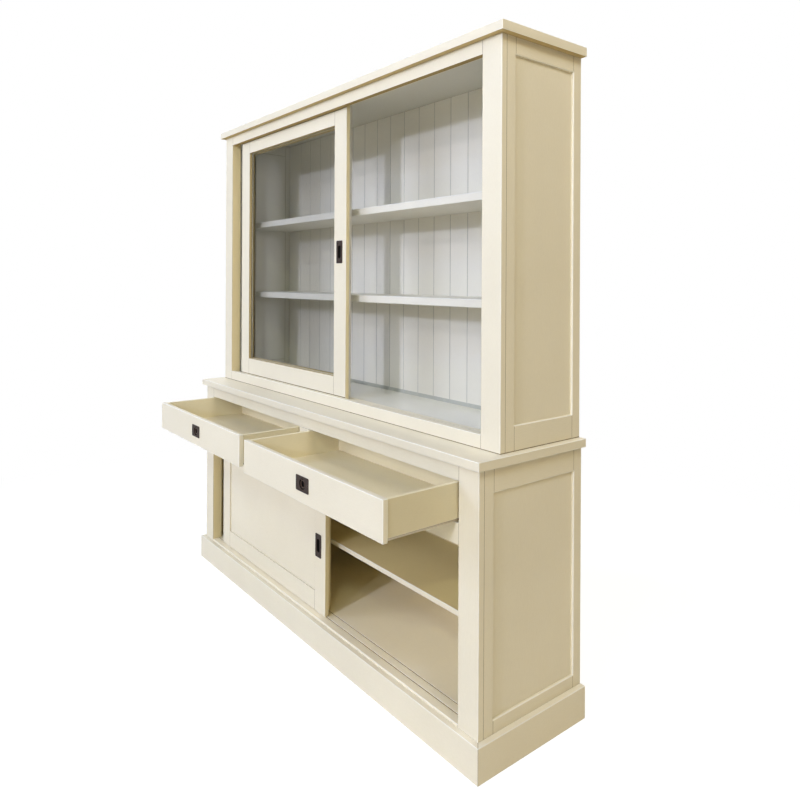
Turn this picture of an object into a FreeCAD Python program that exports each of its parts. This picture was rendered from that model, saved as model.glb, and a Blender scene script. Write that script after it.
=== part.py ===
import FreeCAD, Part
import Sketcher
import os
from types import SimpleNamespace

# Dresser with hutch: a lower carcass with two drawers over a pair of sliding doors, and
# a shallower hutch with a pair of glazed sliding doors.  Millimetres, +Z up, -Y is the
# front.  The origin is at the middle of the footprint, on the floor.  The drawers and
# doors stand where the open cabinet shows them: *_open is how far each one is moved, and
# *_rear_gap is how far a rear door still is from the left end of its travel.

DIMENSIONS = {
    # overall
    "case_width": 1960,
    "case_depth": 476,
    "total_height": 2200,
    # plinth and lower floor
    "plinth_thick": 20,
    "plinth_height": 106,
    "bearer_thick": 22,
    "bearer_spread": 600,
    "floor_reveal": 8,
    "floor_thick": 22,
    # lower carcass
    "worktop_height": 916,
    "worktop_thick": 28,
    "worktop_front_overhang": 20,
    "worktop_side_overhang": 18,
    "side_thick": 22,
    "side_stile": 40,
    "panel_recess": 8,
    "face_thick": 22,
    "post_width": 84,
    "post_return": 23,
    "lower_side_top_rail": 77,
    "lower_side_bottom_rail": 146,
    "lower_top_rail_height": 51,
    "drawer_opening_height": 125,
    "middle_rail_height": 65,
    "mullion_width": 74,
    "back_recess": 14,
    "lower_back_thick": 8,
    "lower_back_foot": 30,
    "lower_shelf_top": 381,
    "lower_shelf_thick": 18,
    "lower_shelf_setback": 100,
    # hutch
    "hutch_setback": 95,
    "hutch_inset": 8,
    "hutch_post_width": 80,
    "hutch_floor_thick": 24,
    "hutch_bottom_rail": 45,
    "hutch_top_rail": 45,
    "hutch_side_top_rail": 54,
    "hutch_side_bottom_rail": 79,
    "cornice_thick": 30,
    "cornice_overhang": 22,
    "plank_pitch": 98.7,
    "plank_thick": 10,
    "plank_bevel": 2.5,
    "hutch_shelf_thick": 28,
    "hutch_shelf_setback": 100,
    "hutch_shelf_low": 1343,
    "hutch_shelf_high": 1697,
    # shelf pins
    "pin_radius": 3,
    "pin_reach": 12,
    "pin_socket": 10,
    "pin_inset": 40,
    "pin_gap": 0.3,
    "shelf_side_gap": 0.5,
    # sliding doors and their tracks
    "door_thick": 18,
    "door_setback": 24,
    "door_pitch": 34,
    "door_overlap": 108,
    "door_tuck": 10,
    "door_lift": 3,
    "door_top_gap": 3,
    "lower_door_hidden": 10,
    "door_stop_gap": 1,
    "upper_door_frame": 85,
    "lower_door_frame": 77,
    "upper_front_open": 61,
    "lower_front_open": 69,
    "upper_rear_gap": 37,
    "lower_rear_gap": 39,
    "track_thick": 11,
    "track_depth": 64,
    "guide_thick": 17,
    "groove_width": 4,
    "groove_depth": 6,
    "guide_groove_depth": 12,
    "blade_side_gap": 0.5,
    "blade_end_gap": 1,
    "guide_blade_entry": 8,
    "glider_length": 24,
    "glider_width": 12,
    "glider_inset": 40,
    # glazing and door panels
    "glass_setback": 12,
    "glass_thick": 4,
    "glass_housing": 8,
    "glass_gap": 1,
    "bead_thick": 5,
    "door_panel_setback": 6,
    "door_panel_thick": 8,
    "door_panel_housing": 8,
    "door_panel_gap": 1,
    # flush pulls of the doors
    "door_pull_width": 42,
    "door_pull_height": 92,
    "door_cup_width": 27,
    "door_cup_height": 60,
    "door_slot_width": 21,
    "door_slot_height": 54,
    "upper_pull_edge": 45,
    "upper_pull_level": 1546,
    "lower_pull_edge": 50,
    "lower_pull_level": 380,
    "door_screw_spread": 74,
    # ring pulls of the drawers
    "ring_pull_width": 78,
    "ring_pull_height": 50,
    "ring_cup_radius": 22,
    "ring_recess_radius": 18,
    "ring_radius": 12,
    "ring_wire_radius": 1.7,
    "ring_depth": 3.8,
    "ring_pin_radius": 1.4,
    "ring_pin_length": 32,
    "ring_pin_gap": 0.3,
    "ring_screw_spread": 60,
    # shared by all pulls
    "pull_thick": 2,
    "pull_corner": 4,
    "pull_rim": 3,
    "pull_field_depth": 0.7,
    "cup_depth": 10,
    "cup_floor": 1.5,
    "cup_gap": 0.3,
    "screw_head_radius": 3.2,
    "screw_head_height": 0.9,
    "screw_radius": 1.5,
    "screw_length": 11,
    "screw_gap": 0.3,
    # drawers and runners
    "drawer_gap": 1.5,
    "drawer_front_thick": 18,
    "drawer_side_thick": 12,
    "drawer_side_inset": 2.5,
    "drawer_side_lift": 13,
    "drawer_top_drop": 1.5,
    "drawer_inner_depth": 395,
    "drawer_bottom_lift": 8,
    "drawer_bottom_thick": 6,
    "left_drawer_open": 265,
    "right_drawer_open": 282,
    "runner_length": 400,
    "runner_behind_rail": 2,
    "cabinet_runner_width": 20,
    "cabinet_runner_height": 7,
    "cabinet_runner_edge": 2,
    "drawer_runner_width": 16,
    "runner_gap": 0.3,
    "runner_bearer_width": 44,
}

doc = FreeCAD.newDocument("dresser_with_hutch")
sheet = doc.addObject("Spreadsheet::Sheet", "sizes")
for row, (alias, millimetres) in enumerate(DIMENSIONS.items(), start=1):
    sheet.set(f"A{row}", alias)
    sheet.set(f"B{row}", str(millimetres))
    sheet.setAlias(f"B{row}", alias)
doc.recompute()


class Size:
    """A length that carries its formula on the sheet and its present value."""

    def __init__(self, formula, value):
        self.formula = formula
        self.value = value

    @staticmethod
    def of(length):
        return length if isinstance(length, Size) else Size(str(length), length)

    def __add__(self, other):
        other = Size.of(other)
        return Size(f"({self.formula} + {other.formula})", self.value + other.value)

    def __sub__(self, other):
        other = Size.of(other)
        return Size(f"({self.formula} - {other.formula})", self.value - other.value)

    def __mul__(self, factor):
        return Size(f"({self.formula} * {factor})", self.value * factor)

    def __truediv__(self, divisor):
        return Size(f"({self.formula} / {divisor})", self.value / divisor)

    def __neg__(self):
        return Size(f"(-1 * {self.formula})", -self.value)


D = SimpleNamespace(**{alias: Size(f"sizes.{alias}", sheet.get(alias)) for alias in DIMENSIONS})


# ---------------------------------------------------------------- building helpers

nodes = []


def bind(item, **lengths):
    """Tie properties of an object to formulas on the sheet."""
    for name, length in lengths.items():
        item.setExpression(name, Size.of(length).formula)


def place(item, x, y, z):
    """Tie the place of an object to formulas on the sheet."""
    for axis, length in zip("xyz", (x, y, z)):
        item.setExpression(f".Placement.Base.{axis}", Size.of(length).formula)


def board(name, x, y, z):
    """A straight board between a pair of limits on each axis."""
    item = doc.addObject("Part::Box", name)
    bind(
        item,
        Length=Size.of(x[1]) - x[0],
        Width=Size.of(y[1]) - y[0],
        Height=Size.of(z[1]) - z[0],
    )
    place(item, x[0], y[0], z[0])
    return item


def rod(name, axis, start, radius, length):
    """A round rod that runs along +X or +Y from its start."""
    turns = {
        "X": FreeCAD.Rotation(FreeCAD.Vector(0, 1, 0), 90),
        "Y": FreeCAD.Rotation(FreeCAD.Vector(1, 0, 0), -90),
    }
    item = doc.addObject("Part::Cylinder", name)
    item.Placement = FreeCAD.Placement(FreeCAD.Vector(), turns[axis])
    bind(item, Radius=radius, Height=length)
    place(item, *start)
    return item


def fused(name, *solids):
    """Several overlapping or touching shapes as one solid."""
    item = doc.addObject("Part::MultiFuse", name)
    item.Shapes = list(solids)
    item.Refine = True
    return item


def cut(name, blank, *tools):
    """A blank with the tools taken out of it."""
    item = doc.addObject("Part::Cut", name)
    item.Base = blank
    item.Tool = tools[0] if len(tools) == 1 else fused(f"{name}_tools", *tools)
    return item


def sub_part(label, *solids):
    """One named piece, or one group of like pieces, that is written to its own file."""
    if len(solids) == 1:
        item = solids[0]
    else:
        item = doc.addObject("Part::Compound", label)
        item.Links = list(solids)
    item.Label = label
    nodes.append(item)
    return item


def sketch_on(body, plane, outlines, height=0):
    """A sketch of closed outlines whose every corner is tied to the sheet."""
    sketch = body.newObject("Sketcher::SketchObject", f"{body.Name}_sketch")
    face = next(item for item in body.Origin.OriginFeatures if item.Role == plane)
    sketch.AttachmentSupport = [(face, "")]
    sketch.MapMode = "FlatFace"
    sketch.setExpression(".AttachmentOffset.Base.z", Size.of(height).formula)
    for corners in outlines:
        first = sketch.GeometryCount
        count = len(corners)
        points = [FreeCAD.Vector(Size.of(a).value, Size.of(b).value, 0) for a, b in corners]
        for index in range(count):
            line = Part.LineSegment(points[index], points[(index + 1) % count])
            sketch.addGeometry(line, False)
        for index, corner in enumerate(corners):
            here = first + index
            following = first + (index + 1) % count
            sketch.addConstraint(Sketcher.Constraint("Coincident", here, 2, following, 1))
            for kind, length in zip(("DistanceX", "DistanceY"), corner):
                length = Size.of(length)
                constraint = Sketcher.Constraint(kind, -1, 1, here, 1, length.value)
                number = sketch.addConstraint(constraint)
                sketch.setExpression(f"Constraints[{number}]", length.formula)
    return sketch


def prism(name, plane, corners, length):
    """A body padded from one outline: along +Z from the XY plane, along +X from YZ."""
    body = doc.addObject("PartDesign::Body", name)
    sketch = sketch_on(body, plane, [corners])
    pad = body.newObject("PartDesign::Pad", f"{name}_pad")
    pad.Profile = sketch
    bind(pad, Length=length)
    return body


def mirrored_pair(name, builder):
    """The same piece for the left (-1) and the right (+1) end of the cabinet."""
    for side, sign in (("left", -1), ("right", 1)):
        builder(f"{name}_{side}", sign)


def between(sign, near, far):
    """Limits on X, in rising order, of something that spans near..far on one side."""
    return (near, far) if sign > 0 else (-far, -near)


# ---------------------------------------------------------------- shared levels and faces

half_case = D.case_width / 2
front = (D.plinth_thick - D.case_depth) / 2
back = front + D.case_depth
back_face = back - D.back_recess
half_inner = half_case - D.side_thick
half_opening = half_case - D.post_width
behind_face = front + D.face_thick
behind_post = behind_face + D.post_return

floor_top = D.plinth_height + D.floor_reveal
floor_bottom = floor_top - D.floor_thick
worktop_bottom = D.worktop_height - D.worktop_thick
drawer_opening_top = worktop_bottom - D.lower_top_rail_height
drawer_opening_bottom = drawer_opening_top - D.drawer_opening_height
middle_rail_bottom = drawer_opening_bottom - D.middle_rail_height
lower_shelf_bottom = D.lower_shelf_top - D.lower_shelf_thick

half_hutch = half_case - D.hutch_inset
hutch_front = front + D.hutch_setback
half_hutch_inner = half_hutch - D.side_thick
half_hutch_opening = half_hutch - D.hutch_post_width
behind_hutch_face = hutch_front + D.face_thick
behind_hutch_post = behind_hutch_face + D.post_return
hutch_floor_top = D.worktop_height + D.hutch_floor_thick
ceiling = D.total_height - D.cornice_thick

lower_guide_bottom = middle_rail_bottom + D.lower_door_hidden + D.door_top_gap
lower_guide_top = lower_guide_bottom + D.guide_thick
hutch_track_top = hutch_floor_top + D.track_thick
hutch_guide_bottom = ceiling - D.guide_thick


# ---------------------------------------------------------------- plinth and floor

def plinth():
    """Skirting boards round three sides, mitred at the front corners."""
    outer = half_case + D.plinth_thick
    face = front - D.plinth_thick
    corners = [(-outer, face), (outer, face), (half_case, front), (-half_case, front)]
    sub_part("plinth_front", prism("plinth_front_board", "XY_Plane", corners, D.plinth_height))

    def side_board(label, sign):
        inner_x = half_case * sign
        outer_x = outer * sign
        corners = [(inner_x, front), (outer_x, face), (outer_x, back), (inner_x, back)]
        sub_part(label, prism(f"{label}_board", "XY_Plane", corners, D.plinth_height))

    mirrored_pair("plinth", side_board)


def floor_bearers():
    """Upright boards under the lower floor, which also stand on the ground."""
    boards = []
    for index, place_number in enumerate((-1, 0, 1)):
        middle = D.bearer_spread * place_number
        x = (middle - D.bearer_thick / 2, middle + D.bearer_thick / 2)
        boards.append(board(f"floor_bearer_{index + 1}", x, (front, back_face), (0, floor_bottom)))
    sub_part("floor_bearers", *boards)


def notched_floor(name, opening, inner, start, notch, bottom, thick):
    """A floor board that narrows between the posts at its front."""
    corners = [
        (-opening, start),
        (opening, start),
        (opening, notch),
        (inner, notch),
        (inner, back_face),
        (-inner, back_face),
        (-inner, notch),
        (-opening, notch),
    ]
    body = prism(name, "XY_Plane", corners, thick)
    place(body, 0, 0, bottom)
    return body


def groove_centres(face):
    """The middles of the front and rear door grooves behind a cabinet face."""
    first = face + D.door_setback + D.door_thick / 2
    return (first, first + D.door_pitch)


def lower_floor():
    """The floor of the lower cupboard with the two grooves that the doors run in."""
    floor = notched_floor(
        "lower_floor_board", half_opening, half_inner, front, behind_post, floor_bottom, D.floor_thick
    )
    grooves = []
    for middle in groove_centres(front):
        near = middle - D.groove_width / 2
        far = middle + D.groove_width / 2
        left, right = -half_opening, half_opening
        grooves.append([(left, near), (right, near), (right, far), (left, far)])
    pocket_sketch = sketch_on(floor, "XY_Plane", grooves, D.floor_thick)
    doc.recompute()
    volume = floor.Shape.Volume
    pocket = floor.newObject("PartDesign::Pocket", "lower_floor_grooves")
    pocket.Profile = pocket_sketch
    bind(pocket, Length=D.groove_depth)
    doc.recompute()
    if floor.Shape.Volume >= volume:
        raise RuntimeError("the door grooves cut nothing from the lower floor")
    sub_part("lower_floor", floor)


# ---------------------------------------------------------------- frames of the carcasses

def post(label, sign, outer, width, face, foot, height):
    """A corner post: a face board with a return behind it that houses the side frame."""
    edge = outer * sign
    return_edge = (outer - D.side_thick) * sign
    inner_edge = (outer - width) * sign
    shoulder = face + D.face_thick
    corners = [
        (inner_edge, face),
        (edge, face),
        (edge, shoulder),
        (return_edge, shoulder),
        (return_edge, shoulder + D.post_return),
        (inner_edge, shoulder + D.post_return),
    ]
    body = prism(f"{label}_section", "XY_Plane", corners, height)
    place(body, 0, 0, foot)
    sub_part(label, body)


def side(label, sign, outer, start, foot, top, bottom_rail, top_rail, shelves):
    """A framed side with a panel set back from outside, bored for the shelf pins."""
    inner = outer - D.side_thick
    x = between(sign, inner, outer)
    front_stile = (start, start + D.side_stile)
    rear_stile = (back - D.side_stile, back)
    middle = (front_stile[1], rear_stile[0])
    panel_z = (foot + bottom_rail, top - top_rail)
    panel_x = between(sign, inner, outer - D.panel_recess)
    blank = board(f"{label}_panel_blank", panel_x, middle, panel_z)
    sockets = []
    for number, (setback_y, level) in enumerate(shelves):
        for end, y in enumerate(pin_places(setback_y)):
            begin = between(sign, inner, inner + D.pin_socket)[0]
            name = f"{label}_socket_{number}_{end}"
            radius = D.pin_radius + D.pin_gap
            sockets.append(rod(name, "X", (begin, y, pin_level(level)), radius, D.pin_socket))
    sub_part(
        label,
        board(f"{label}_front_stile", x, front_stile, (foot, top)),
        board(f"{label}_rear_stile", x, rear_stile, (foot, top)),
        board(f"{label}_bottom_rail", x, middle, (foot, foot + bottom_rail)),
        board(f"{label}_top_rail", x, middle, (top - top_rail, top)),
        cut(f"{label}_panel", blank, *sockets),
    )


def pin_places(shelf_front):
    """Where the two pins at one end of a shelf lie along the depth."""
    return (shelf_front + D.pin_inset, back_face - D.pin_inset)


def pin_level(shelf_bottom):
    """The height of the pins' axes under a shelf."""
    return shelf_bottom - D.pin_radius - D.pin_gap


lower_shelf_front = front + D.lower_shelf_setback
hutch_shelf_front = hutch_front + D.hutch_shelf_setback
lower_shelves = [(lower_shelf_front, lower_shelf_bottom)]
hutch_shelves = [(hutch_shelf_front, D.hutch_shelf_low), (hutch_shelf_front, D.hutch_shelf_high)]


def lower_carcass():
    """Posts, rails, framed sides, back and worktop of the lower part."""
    mirrored_pair(
        "lower_post",
        lambda label, sign: post(label, sign, half_case, D.post_width, front, 0, worktop_bottom),
    )
    mirrored_pair(
        "lower_side",
        lambda label, sign: side(
            label, sign, half_case, behind_face, Size.of(0), worktop_bottom,
            D.lower_side_bottom_rail, D.lower_side_top_rail, lower_shelves,
        ),
    )
    face = (front, behind_face)
    across = (-half_opening, half_opening)
    sub_part(
        "lower_top_rail",
        board("lower_top_rail_board", across, face, (drawer_opening_top, worktop_bottom)),
    )
    sub_part(
        "lower_middle_rail",
        board("lower_middle_rail_board", across, face, (middle_rail_bottom, drawer_opening_bottom)),
    )
    sub_part(
        "lower_mullion",
        board(
            "lower_mullion_board",
            (-D.mullion_width / 2, D.mullion_width / 2),
            face,
            (drawer_opening_bottom, drawer_opening_top),
        ),
    )
    sub_part(
        "lower_back",
        board(
            "lower_back_board",
            (-half_inner, half_inner),
            (back_face, back_face + D.lower_back_thick),
            (D.lower_back_foot, worktop_bottom),
        ),
    )
    half_top = half_case + D.worktop_side_overhang
    sub_part(
        "worktop",
        board(
            "worktop_board",
            (-half_top, half_top),
            (front - D.worktop_front_overhang, back),
            (worktop_bottom, D.worktop_height),
        ),
    )


def hutch_carcass():
    """Posts, rails, framed sides, floor and cornice board of the hutch."""
    mirrored_pair(
        "hutch_post",
        lambda label, sign: post(
            label, sign, half_hutch, D.hutch_post_width, hutch_front,
            D.worktop_height, ceiling - D.worktop_height,
        ),
    )
    mirrored_pair(
        "hutch_side",
        lambda label, sign: side(
            label, sign, half_hutch, behind_hutch_face, D.worktop_height, ceiling,
            D.hutch_side_bottom_rail, D.hutch_side_top_rail, hutch_shelves,
        ),
    )
    face = (hutch_front, behind_hutch_face)
    across = (-half_hutch_opening, half_hutch_opening)
    sub_part(
        "hutch_bottom_rail",
        board(
            "hutch_bottom_rail_board", across, face,
            (D.worktop_height, D.worktop_height + D.hutch_bottom_rail),
        ),
    )
    sub_part(
        "hutch_top_rail",
        board("hutch_top_rail_board", across, face, (ceiling - D.hutch_top_rail, ceiling)),
    )
    sub_part(
        "hutch_floor",
        notched_floor(
            "hutch_floor_board", half_hutch_opening, half_hutch_inner,
            behind_hutch_face, behind_hutch_post, D.worktop_height, D.hutch_floor_thick,
        ),
    )
    half_cornice = half_hutch + D.cornice_overhang
    sub_part(
        "cornice",
        board(
            "cornice_board",
            (-half_cornice, half_cornice),
            (hutch_front - D.cornice_overhang, back),
            (ceiling, D.total_height),
        ),
    )


def hutch_back():
    """Upright planks with bevelled edges, laid from the right; the last one is cut to fit."""
    width = half_hutch_inner * 2
    count = max(1, round(width.value / D.plank_pitch.value))
    planks = []
    for number in range(count):
        right = half_hutch_inner - D.plank_pitch * number
        left = right - D.plank_pitch if number < count - 1 else -half_hutch_inner
        corners = [
            (left + D.plank_bevel, back_face),
            (right - D.plank_bevel, back_face),
            (right, back_face + D.plank_bevel),
            (right, back_face + D.plank_thick),
            (left, back_face + D.plank_thick),
            (left, back_face + D.plank_bevel),
        ]
        plank = prism(f"hutch_plank_{number + 1}", "XY_Plane", corners, ceiling - D.worktop_height)
        place(plank, 0, 0, D.worktop_height)
        planks.append(plank)
    sub_part("hutch_back_planks", *planks)


# ---------------------------------------------------------------- shelves, tracks and bearers

def shelf(label, half_width, shelf_front, bottom, thick):
    """A loose shelf that lies on four pins."""
    reach = half_width - D.shelf_side_gap
    y = (shelf_front, back_face)
    sub_part(label, board(f"{label}_board", (-reach, reach), y, (bottom, bottom + thick)))


def shelf_pins():
    """Round pins in the sides, four under each shelf."""
    pins = []
    levels = [(half_inner, *entry) for entry in lower_shelves]
    levels += [(half_hutch_inner, *entry) for entry in hutch_shelves]
    length = D.pin_socket - D.pin_gap + D.pin_reach
    for number, (inner, shelf_front, bottom) in enumerate(levels):
        for end, y in enumerate(pin_places(shelf_front)):
            for side_name, sign in (("left", -1), ("right", 1)):
                begin = between(sign, inner - D.pin_reach, inner + D.pin_socket - D.pin_gap)[0]
                name = f"shelf_pin_{number}_{end}_{side_name}"
                pins.append(rod(name, "X", (begin, y, pin_level(bottom)), D.pin_radius, length))
    sub_part("shelf_pins", *pins)


def grooved_batten(label, half_length, face, plain, grooved, groove_floor):
    """A batten behind the face rail with the two door grooves let into one side."""
    begin = face + D.face_thick
    end = begin + D.track_depth
    corners = [(begin, plain), (end, plain), (end, grooved)]
    for middle in reversed(groove_centres(face)):
        near = middle - D.groove_width / 2
        far = middle + D.groove_width / 2
        corners += [(far, grooved), (far, groove_floor), (near, groove_floor), (near, grooved)]
    corners.append((begin, grooved))
    body = prism(f"{label}_section", "YZ_Plane", corners, half_length * 2)
    place(body, -half_length, 0, 0)
    sub_part(label, body)


def tracks():
    """The bottom track of the hutch and the top guides of both pairs of doors."""
    grooved_batten(
        "hutch_door_track", half_hutch_opening, hutch_front,
        hutch_floor_top, hutch_track_top, hutch_track_top - D.groove_depth,
    )
    grooved_batten(
        "hutch_door_guide", half_hutch_opening, hutch_front,
        ceiling, hutch_guide_bottom, hutch_guide_bottom + D.guide_groove_depth,
    )
    grooved_batten(
        "lower_door_guide", half_opening, front,
        lower_guide_top, lower_guide_bottom, lower_guide_bottom + D.guide_groove_depth,
    )


def drawer_openings():
    """The left and right drawer openings between the posts and the mullion."""
    half_mullion = D.mullion_width / 2
    return {
        "left": (-half_opening, -half_mullion),
        "right": (half_mullion, half_opening),
    }


def runner_supports():
    """Bearers from the middle rail to the back, with the fixed runner members on them."""
    bearers = []
    runners = []
    runner_start = behind_face + D.runner_behind_rail
    runner_y = (runner_start, runner_start + D.runner_length)
    bearer_z = (lower_guide_top, drawer_opening_bottom)
    runner_z = (drawer_opening_bottom, drawer_opening_bottom + D.cabinet_runner_height)
    for side_name, (left, right) in drawer_openings().items():
        left_edge = left + D.cabinet_runner_edge
        right_edge = right - D.cabinet_runner_edge
        bearer_places = {
            "left": (left, left + D.runner_bearer_width),
            "right": (right - D.runner_bearer_width, right),
        }
        runner_places = {
            "left": (left_edge, left_edge + D.cabinet_runner_width),
            "right": (right_edge - D.cabinet_runner_width, right_edge),
        }
        for end, bearer_x in bearer_places.items():
            runner_x = runner_places[end]
            name = f"{side_name}_{end}"
            bearers.append(board(f"runner_bearer_{name}", bearer_x, (behind_face, back_face), bearer_z))
            runners.append(board(f"cabinet_runner_{name}", runner_x, runner_y, runner_z))
    sub_part("runner_bearers", *bearers)
    sub_part("cabinet_runners", *runners)


# ---------------------------------------------------------------- pulls and screws

def round_corners(name, blank):
    """The blank with its four edges that run along Y rounded."""
    doc.recompute()
    item = doc.addObject("Part::Fillet", name)
    item.Base = blank
    edges = []
    for number, edge in enumerate(blank.Shape.Edges, start=1):
        if abs(edge.tangentAt(edge.FirstParameter).y) > 0.99:
            edges.append((number, D.pull_corner.value, D.pull_corner.value))
    item.Edges = edges
    return item


def screw(name, x, plate_field, z):
    """A small dome-head screw whose head lies on the sunk field of a plate."""
    head_start = plate_field - D.screw_head_height
    head = rod(f"{name}_head", "Y", (x, head_start, z), D.screw_head_radius, D.screw_head_height)
    shank = rod(f"{name}_shank", "Y", (x, plate_field, z), D.screw_radius, D.screw_length)
    return fused(name, head, shank)


def screw_hole(name, x, face, z):
    """The clearance hole of a screw, through the plate and into the wood."""
    start = face - D.pull_thick
    length = D.screw_length + D.pull_thick
    return rod(name, "Y", (x, start, z), D.screw_radius + D.screw_gap, length)


def plate_blank(name, x, face, z, width, height):
    """A thin plate with rounded corners on the face of the wood."""
    limits_x = (x - width / 2, x + width / 2)
    limits_z = (z - height / 2, z + height / 2)
    sharp = board(f"{name}_sharp", limits_x, (face - D.pull_thick, face), limits_z)
    return round_corners(f"{name}_plate", sharp)


def plate_field(name, x, face, z, width, height):
    """The tool that sinks the field of a plate and leaves its rim."""
    half_x = width / 2 - D.pull_rim
    half_z = height / 2 - D.pull_rim
    start = face - D.pull_thick
    y = (start, start + D.pull_field_depth)
    return board(f"{name}_field", (x - half_x, x + half_x), y, (z - half_z, z + half_z))


def slot_pull(label, x, face, z):
    """The flush pull of a door: plate, cup with a long slot, and a screw at each end."""
    half_cup_x = D.door_cup_width / 2
    half_cup_z = D.door_cup_height / 2
    slot_radius = D.door_slot_width / 2
    half_straight = D.door_slot_height / 2 - slot_radius
    slot_start = face - D.pull_thick
    slot_depth = D.cup_depth + D.pull_thick - D.cup_floor
    plate = plate_blank(label, x, face, z, D.door_pull_width, D.door_pull_height)
    cup = board(
        f"{label}_cup",
        (x - half_cup_x, x + half_cup_x),
        (face, face + D.cup_depth),
        (z - half_cup_z, z + half_cup_z),
    )
    slot = fused(
        f"{label}_slot",
        rod(f"{label}_slot_top", "Y", (x, slot_start, z + half_straight), slot_radius, slot_depth),
        rod(f"{label}_slot_foot", "Y", (x, slot_start, z - half_straight), slot_radius, slot_depth),
        board(
            f"{label}_slot_middle",
            (x - slot_radius, x + slot_radius),
            (slot_start, slot_start + slot_depth),
            (z - half_straight, z + half_straight),
        ),
    )
    field = plate_field(label, x, face, z, D.door_pull_width, D.door_pull_height)
    field_face = face - D.pull_thick + D.pull_field_depth
    screws = []
    holes = []
    for end, level in (("foot", z - D.door_screw_spread / 2), ("top", z + D.door_screw_spread / 2)):
        screws.append(screw(f"{label}_screw_{end}", x, field_face, level))
        holes.append(screw_hole(f"{label}_hole_{end}", x, face, level))
    body = cut(f"{label}_body", fused(f"{label}_solid", plate, cup), slot, field, *holes)
    sub_part(label, body, *screws)
    housing = board(
        f"{label}_housing",
        (x - half_cup_x - D.cup_gap, x + half_cup_x + D.cup_gap),
        (face, face + D.cup_depth + D.cup_gap),
        (z - half_cup_z - D.cup_gap, z + half_cup_z + D.cup_gap),
    )
    return [housing, *holes]


def ring_pull(label, ring_label, x, face, z):
    """The flush ring pull of a drawer: plate, round cup, hinged ring and two screws."""
    outside = face - D.pull_thick
    plate = plate_blank(label, x, face, z, D.ring_pull_width, D.ring_pull_height)
    cup = rod(f"{label}_cup", "Y", (x, face, z), D.ring_cup_radius, D.cup_depth)
    recess_depth = D.cup_depth + D.pull_thick - D.cup_floor
    recess = rod(f"{label}_recess", "Y", (x, outside, z), D.ring_recess_radius, recess_depth)
    field = plate_field(label, x, face, z, D.ring_pull_width, D.ring_pull_height)
    field_face = outside + D.pull_field_depth

    ring_y = outside + D.ring_depth
    pivot_z = z + D.ring_radius
    half_pin = D.ring_pin_length / 2
    socket_start = (x - half_pin - D.ring_pin_gap, ring_y, pivot_z)
    socket_length = D.ring_pin_length + D.ring_pin_gap * 2
    socket_radius = D.ring_pin_radius + D.ring_pin_gap
    socket = rod(f"{label}_pin_socket", "X", socket_start, socket_radius, socket_length)

    screws = []
    holes = []
    for end, middle in (("left", x - D.ring_screw_spread / 2), ("right", x + D.ring_screw_spread / 2)):
        screws.append(screw(f"{label}_screw_{end}", middle, field_face, z))
        holes.append(screw_hole(f"{label}_hole_{end}", middle, face, z))
    body = cut(f"{label}_body", fused(f"{label}_solid", plate, cup), recess, field, socket, *holes)
    sub_part(label, body, *screws)

    loop = doc.addObject("Part::Torus", f"{ring_label}_loop")
    loop.Placement = FreeCAD.Placement(FreeCAD.Vector(), FreeCAD.Rotation(FreeCAD.Vector(1, 0, 0), 90))
    bind(loop, Radius1=D.ring_radius, Radius2=D.ring_wire_radius)
    place(loop, x, ring_y, z)
    pin_start = (x - half_pin, ring_y, pivot_z)
    pin = rod(f"{ring_label}_pin", "X", pin_start, D.ring_pin_radius, D.ring_pin_length)
    sub_part(ring_label, fused(f"{ring_label}_body", loop, pin))

    housing = rod(
        f"{label}_housing", "Y", (x, face, z), D.ring_cup_radius + D.cup_gap, D.cup_depth + D.cup_gap
    )
    return [housing, *holes]


# ---------------------------------------------------------------- sliding doors

def door_frame(label, x, z, face, width, housing, right_tools):
    """Two stiles the full height with rails between them, housed round the infill."""
    y = (face, face + D.door_thick)
    rail_x = (x[0] + width, x[1] - width)
    foot_rail = (z[0], z[0] + width)
    top_rail = (z[1] - width, z[1])
    blanks = {
        "left_stile": ((x[0], rail_x[0]), z),
        "right_stile": ((rail_x[1], x[1]), z),
        "foot_rail": (rail_x, foot_rail),
        "top_rail": (rail_x, top_rail),
    }
    members = []
    for name, (limits_x, limits_z) in blanks.items():
        blank = board(f"{label}_{name}_blank", limits_x, y, limits_z)
        tools = [housing, *right_tools] if name == "right_stile" else [housing]
        members.append(cut(f"{label}_{name}", blank, *tools))
    sub_part(label, *members)


def gliders(label, x, face, z):
    """Nylon shoes with a blade in the track below, and guide blades in the groove above."""
    middle = face + D.door_thick / 2
    half_blade = D.groove_width / 2 - D.blade_side_gap
    pad_y = (middle - D.glider_width / 2, middle + D.glider_width / 2)
    blade_y = (middle - half_blade, middle + half_blade)
    track = z[0] - D.door_lift
    blade_foot = track - D.groove_depth + D.blade_end_gap
    blade_top = z[1] + D.door_top_gap + D.guide_blade_entry
    starts = {"left": x[0] + D.glider_inset, "right": x[1] - D.glider_inset - D.glider_length}
    solids = []
    for end, start in starts.items():
        length = (start, start + D.glider_length)
        pad = board(f"{label}_pad_{end}", length, pad_y, (track, z[0]))
        blade = board(f"{label}_blade_{end}", length, blade_y, (blade_foot, track))
        solids.append(fused(f"{label}_shoe_{end}", pad, blade))
        solids.append(board(f"{label}_guide_{end}", length, blade_y, (z[1], blade_top)))
    sub_part(label, *solids)


def infill_limits(x, z, width, reach):
    """Limits of a pane that reaches into its frame by the given length."""
    return (
        (x[0] + width - reach, x[1] - width + reach),
        (z[0] + width - reach, z[1] - width + reach),
    )


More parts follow.
